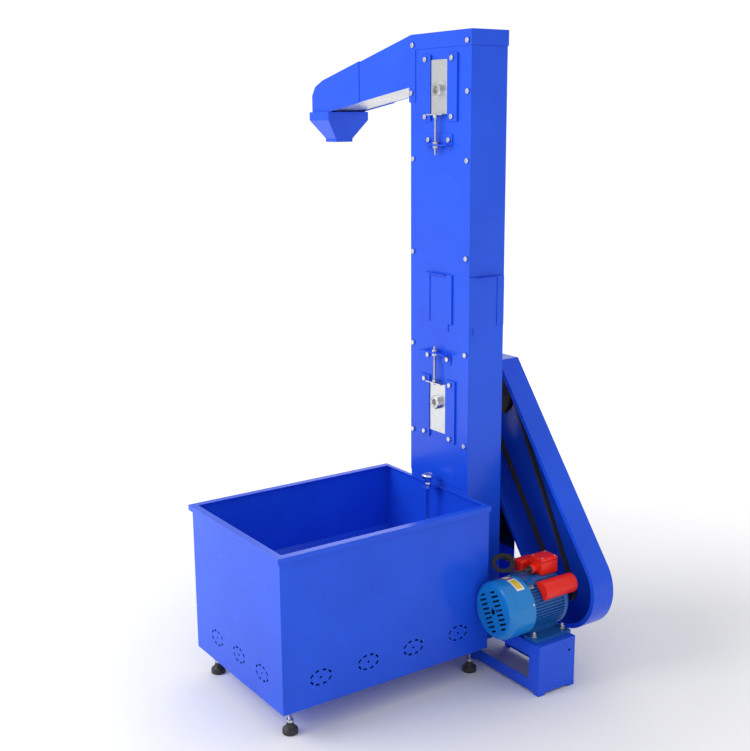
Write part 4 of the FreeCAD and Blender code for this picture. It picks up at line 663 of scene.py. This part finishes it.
def makePlateFinish(name, look):
    surface = plateSurface
    material, tree, shader = startFinish(name, **{
        "Roughness": surface["rough"], "Coat Weight": surface["coat"]})
    where = addNode(tree, "ShaderNodeUVMap")
    split = addNode(tree, "ShaderNodeSeparateXYZ")
    link = tree.links.new
    link(where.outputs["UV"], split.inputs["Vector"])
    inside = None
    for axis in ("X", "Y"):
        folded = addNode(tree, "ShaderNodeMath", {1: 0.5}, operation="SUBTRACT")
        spread = addNode(tree, "ShaderNodeMath", operation="ABSOLUTE")
        edge = addNode(tree, "ShaderNodeMath", {1: 0.5 - look["border"]}, operation="GREATER_THAN")
        link(split.outputs[axis], folded.inputs[0])
        link(folded.outputs["Value"], spread.inputs[0])
        link(spread.outputs["Value"], edge.inputs[0])
        if inside is None:
            inside = edge
        else:
            either = addNode(tree, "ShaderNodeMath", operation="MAXIMUM")
            link(inside.outputs["Value"], either.inputs[0])
            link(edge.outputs["Value"], either.inputs[1])
            inside = either
    peel = placeGroup(tree, orangePeel, Scale=surface["peelScale"], Depth=surface["peelDepth"])
    rub = placeGroup(tree, scuffs, Scale=surface["rubScale"], Cover=surface["rubCover"])
    face = mixColours(tree, inside.outputs["Value"], look["paper"], look["rim"])
    link(mixColours(tree, rub.outputs["Mask"], face, surface["rubColour"]), shader.inputs["Base Color"])
    link(peel.outputs["Normal"], shader.inputs["Normal"])
    return material


def makePlate(name, look):
    shape = bmesh.new()
    sheet = shape.loops.layers.uv.new("UVMap")
    steps, thickness, rows = 10, 0.5, []
    first, last = look["turn"]
    for step in range(steps + 1):
        turn = math.radians(first + (last - first) * step / steps)
        out = Vector((math.cos(turn), 0, math.sin(turn))) * look["radius"] * mm
        rows.append([shape.verts.new(Vector((motorX, y * mm, motorZ)) + out * scale)
                     for y in look["y"] for scale in (1.0, 1.0 - thickness / look["radius"])])
    for index, (row, nextRow) in enumerate(zip(rows, rows[1:])):
        for near, far in ((0, 2), (2, 3), (3, 1), (1, 0)):
            face = shape.faces.new((row[near], row[far], nextRow[far], nextRow[near]))
            for loop in face.loops:
                across = 1.0 if loop.vert in (*row[2:], *nextRow[2:]) else 0.0
                up = (index + (1 if loop.vert in nextRow else 0)) / steps
                loop[sheet].uv = (across, up)
    for row in (rows[0], rows[-1]):
        shape.faces.new((row[0], row[1], row[3], row[2]))
    makePiece(name, shape, "zinc", "motor", 30.0, makePlateFinish(name, look))


boxLow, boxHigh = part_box("junction_box")
makeTerminalBox(boxLow, boxHigh)
makeCoverScrews(boxLow, boxHigh)
for plateName, plateLook in plateLooks.items():
    makePlate(plateName, plateLook)
print("motor dressed")


# V-belt in two stretches, so that each end follows its own sheave

veeBelt = {"middle": (0.152, 0, 0.475), "slice": 0.02, "slices": 11}


def makeBeltHalf(name, keepUpper):
    look, shape = veeBelt, weldedCopy("drive_belt")
    middle = Vector(look["middle"])
    along = (Vector((motorX, 0, motorZ)) - Vector((0, 0, driveLevel))).normalized()
    cutNormal = along if keepUpper else -along
    cutAcross(shape, middle, cutNormal, True)
    for step in range(1, look["slices"] + 1):
        cutAcross(shape, middle - cutNormal * (look["slice"] * step), cutNormal)
    piece = makeObject(name, shape, finishes["vee_rubber"])
    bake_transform(piece)
    return piece


upperBelt = makeBeltHalf("veeBeltUpper", True)
lowerBelt = makeBeltHalf("veeBeltLower", False)
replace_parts(upperBelt, "drive_belt")
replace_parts(lowerBelt, "drive_belt")


# bucket belt and scoops stretch with the head take-up

bucketBelt = {"slice": 0.1, "slices": 15, "scoopRounding": 0.6}
for nodeName, title in (("bucket_belt", "bucketBelt"), ("buckets", "scoops")):
    shape = cleanCopy(nodeName)
    if nodeName == "buckets":
        roundEdges(shape, bucketBelt["scoopRounding"] * mm)
    else:
        for step in range(1, bucketBelt["slices"] + 1):
            cutAcross(shape, axisZ * bucketBelt["slice"] * step, axisZ)
    piece = makeObject(title, shape, finishes[slotOf[nodeName]])
    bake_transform(piece)
    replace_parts(piece, nodeName)
print("belts split and blended")


# supply cord: a short lead from the gland, rather more than three loose turns in a ring, and its plug behind

cordLook = {
    "diameter": 6.0, "turns": 3.4, "perTurn": 16, "ring": 26.6, "squeeze": 1.6,
    "strand": 4.5, "loose": 0.15, "rollTurns": 4, "rollStart": 0.10, "intoPlug": 6.0}
coilCentre = Vector((0.243, -0.025, 0.318))
coilFacing = Vector((0.4616, -0.3156, 0.829)).normalized()
coilAcross = axisZ.cross(coilFacing).normalized()
coilUp = coilFacing.cross(coilAcross).normalized()
leadPoints = [(308, 15, 314), (307.5, -3, 313), (297, -17, 311), (281, -27.5, 308), (260.8, -37.2, 303.5)]
tailPoints = [(217.5, -19.4, 327.6), (217.7, -12.8, 327.1)]
plugBack = Vector((0.2178, -0.007, 0.3255))
plugFacing = Vector((-0.03, 0.95, -0.3)).normalized()


def coilPoint(turn, outward, lift):
    angle = 2 * math.pi * turn
    return (coilCentre + (coilAcross * math.cos(angle) + coilUp * math.sin(angle)) * outward * mm
            + coilFacing * lift * mm)


def coilRoute(startTurn):  # the strands wind round the ring's own centre line, so they never meet
    look, spots = cordLook, []
    total = round(look["turns"] * look["perTurn"])
    for step in range(1, total + 1):
        wound = look["turns"] * step / total
        settle = min(1.0, wound / 0.5)  # over the first half turn
        roll = 2 * math.pi * (wound / look["rollTurns"] - look["rollStart"])
        strand = (look["strand"] + look["loose"] * math.sin(4 * math.pi * wound)) * settle
        outward = look["ring"] - look["squeeze"] * (1 - settle) + strand * math.cos(roll)
        spots.append(coilPoint(startTurn - wound, outward, strand * math.sin(roll)))
    return spots


def makeCord():
    look = cordLook
    route = [Vector(point) * mm for point in leadPoints]
    route += coilRoute(-0.25)
    route += [Vector(point) * mm for point in tailPoints]
    route += [plugBack, plugBack + plugFacing * look["intoPlug"] * mm]
    curve = bpy.data.curves.new("supplyCord", "CURVE")
    curve.dimensions = "3D"
    spline = curve.splines.new("NURBS")
    spline.points.add(len(route) - 1)
    for point, spot in zip(spline.points, route):
        point.co = (*spot, 1.0)
    spline.use_endpoint_u = True
    spline.order_u = 3
    spline.resolution_u = 6
    piece = bpy.data.objects.new("supplyCord", curve)
    bpy.context.scene.collection.objects.link(piece)
    bare = bpy.data.meshes.new_from_object(piece.evaluated_get(bpy.context.evaluated_depsgraph_get()))
    spots = [vert.co.copy() for vert in bare.vertices]
    length = sum((b - a).length for a, b in zip(spots, spots[1:]))
    bends = []
    for a, b, c in zip(spots, spots[1:], spots[2:]):
        come, go = b - a, c - b
        if come.length > 1e-7 and go.length > 1e-7:
            bends.append((come.length + go.length) / 2 / max(come.angle(go), 1e-6))
    print("cord length", round(length, 4), "with its tightest bend", round(min(bends), 4))
    bpy.data.meshes.remove(bare)
    curve.bevel_depth = look["diameter"] / 2 * mm
    curve.bevel_resolution = 5
    curve.use_fill_caps = True
    curve.materials.append(finishes["cord_rubber"])
    return piece, length


supplyCord, cordLength = makeCord()
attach(supplyCord, "motor")
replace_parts(supplyCord, "cord_tube", "cord_coil")

relief = bmesh.new()
reliefProfile = [
    (3.02, -1.0), (10.4, -1.0), (10.4, 2.0), (8.8, 3.0), (6.0, 4.0), (5.6, 8.0), (5.0, 9.0), (4.9, 13.0),
    (4.3, 14.0), (4.2, 17.5), (3.7, 18.5), (3.5, 21.0), (3.05, 22.0)]
turnShape(relief, inMetres(reliefProfile), Vector((0.308, 0.015, 0.314)), -axisY, 36)
makePiece("strainRelief", relief, "fan_plastic", "motor", 32.0)

plugLook = {
    "grip": [
        (0.0, 0.0), (3.8, 0.0), (4.4, 0.8), (5.4, 5.0), (6.8, 8.6), (8.8, 9.4), (10.0, 11.0), (10.4, 14.0),
        (9.6, 18.0), (9.6, 24.0), (10.4, 28.0), (10.4, 33.6), (9.6, 34.8), (0.0, 35.0)],
    "pin": [(0.0, 34.0), (2.2, 34.0), (2.2, 50.0), (1.8, 51.2), (1.1, 51.8), (0.0, 52.0)],
    "pinOffset": 6.4}


def makePlug():
    grip = turnShape(bmesh.new(), inMetres(plugLook["grip"]), plugBack, plugFacing, 40)
    body = makePiece("plugBody", grip, "plug_plastic", "motor", 35.0)
    pins = bmesh.new()
    across = axisZ.cross(plugFacing).normalized()
    for shift in (-plugLook["pinOffset"], plugLook["pinOffset"]):
        turnShape(pins, inMetres(plugLook["pin"]), plugBack + across * shift * mm, plugFacing, 20)
    metal = makePiece("plugPins", pins, "zinc", "motor", 35.0, finishes["brass"])
    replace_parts(body, "plug")
    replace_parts(metal, "plug")
    return body, metal


plugBody, plugPins = makePlug()
print("cord and plug laid")


# floor, light and camera

studio = {
    "backdrop": 1.05, "worldStrength": 0.70, "floorHalf": 14.0, "floorDrop": 0.0005, "floorGlow": 0.40,
    "glowFrom": 0.75, "glowFull": 2.6}
panels = {
    "keyPanel": {"spot": (-1.2, -3.4, 2.9), "target": (0.0, -0.2, 0.8), "power": 78.0, "size": (2.4, 2.0)},
    "fillPanel": {"spot": (3.4, 0.9, 1.8), "target": (0.1, 0.0, 0.8), "power": 4.0, "size": (2.2, 2.4)},
    "backPanel": {"spot": (-2.8, 2.2, 2.6), "target": (0.0, 0.0, 1.0), "power": 16.0, "size": (2.2, 1.6)}}


def makeFloor():
    shape = bmesh.new()
    bmesh.ops.create_grid(shape, x_segments=1, y_segments=1, size=studio["floorHalf"])
    mesh = bpy.data.meshes.new("studioFloor")
    shape.to_mesh(mesh)
    shape.free()
    material, tree, shader = startFinish("paleFloor", **{
        "Roughness": 0.85, "Emission Color": (1.0, 1.0, 1.0, 1.0)})
    where = addNode(tree, "ShaderNodeTexCoord")
    cloud = addNode(tree, "ShaderNodeTexNoise", {"Scale": 2.0, "Detail": 2.0})
    tree.links.new(where.outputs["Object"], cloud.inputs["Vector"])
    away = addNode(tree, "ShaderNodeVectorMath", operation="LENGTH")
    glow = addRamp(tree, studio["glowFrom"], studio["glowFull"], 0.0, studio["floorGlow"])
    tree.links.new(where.outputs["Object"], away.inputs[0])
    tree.links.new(away.outputs["Value"], glow.inputs["Value"])
    tree.links.new(glow.outputs["Result"], shader.inputs["Emission Strength"])
    colour = mixColours(tree, cloud.outputs["Fac"], (0.94, 0.94, 0.94), (0.97, 0.97, 0.97))
    tree.links.new(colour, shader.inputs["Base Color"])
    mesh.materials.append(material)
    floor = bpy.data.objects.new("studioFloor", mesh)
    bpy.context.scene.collection.objects.link(floor)
    floor.location.z = -studio["floorDrop"]


def makePanel(name, look):
    lamp = bpy.data.lights.new(name, "AREA")
    lamp.energy = look["power"]
    lamp.shape = "RECTANGLE"
    lamp.size, lamp.size_y = look["size"]
    holder = bpy.data.objects.new(name, lamp)
    bpy.context.scene.collection.objects.link(holder)
    holder.location = look["spot"]
    facing = Vector(look["target"]) - Vector(look["spot"])
    holder.rotation_euler = facing.to_track_quat("-Z", "Y").to_euler()


def makeWorld():
    world = bpy.data.worlds.new("softRoom")
    bpy.context.scene.world = world
    world.use_nodes = True
    tree = world.node_tree
    sky = tree.nodes["Background"]
    sky.inputs["Color"].default_value = (1.0, 1.0, 1.0, 1.0)
    seen = addNode(tree, "ShaderNodeLightPath")
    level = addRamp(tree, 0.0, 1.0, studio["worldStrength"], studio["backdrop"])
    tree.links.new(seen.outputs["Is Camera Ray"], level.inputs["Value"])
    tree.links.new(level.outputs["Result"], sky.inputs["Strength"])


cameraPlace = {
    "spot": (2.4517, -1.9503, 1.4927), "azimuth": 55.641, "down": 12.563, "roll": -0.428,
    "lens": 54.64, "sensor": 36.0, "far": 60.0}


def makeCamera():
    place = cameraPlace
    turn, drop = math.radians(place["azimuth"]), math.radians(place["down"])
    forward = Vector((-math.sin(turn) * math.cos(drop), math.cos(turn) * math.cos(drop), -math.sin(drop)))
    aim = forward.to_track_quat("-Z", "Y").to_matrix().to_4x4()
    lens = bpy.data.cameras.new("viewCamera")
    lens.lens, lens.sensor_width = place["lens"], place["sensor"]
    lens.clip_end = place["far"]
    holder = bpy.data.objects.new("viewCamera", lens)
    bpy.context.scene.collection.objects.link(holder)
    spin = Matrix.Rotation(math.radians(place["roll"]), 4, "Z")
    holder.matrix_world = Matrix.Translation(place["spot"]) @ aim @ spin
    bpy.context.scene.camera = holder


makeFloor()
makeWorld()
for panelName, panelLook in panels.items():
    makePanel(panelName, panelLook)
makeCamera()
bpy.context.scene.view_settings.view_transform = "Standard"
print("studio ready")
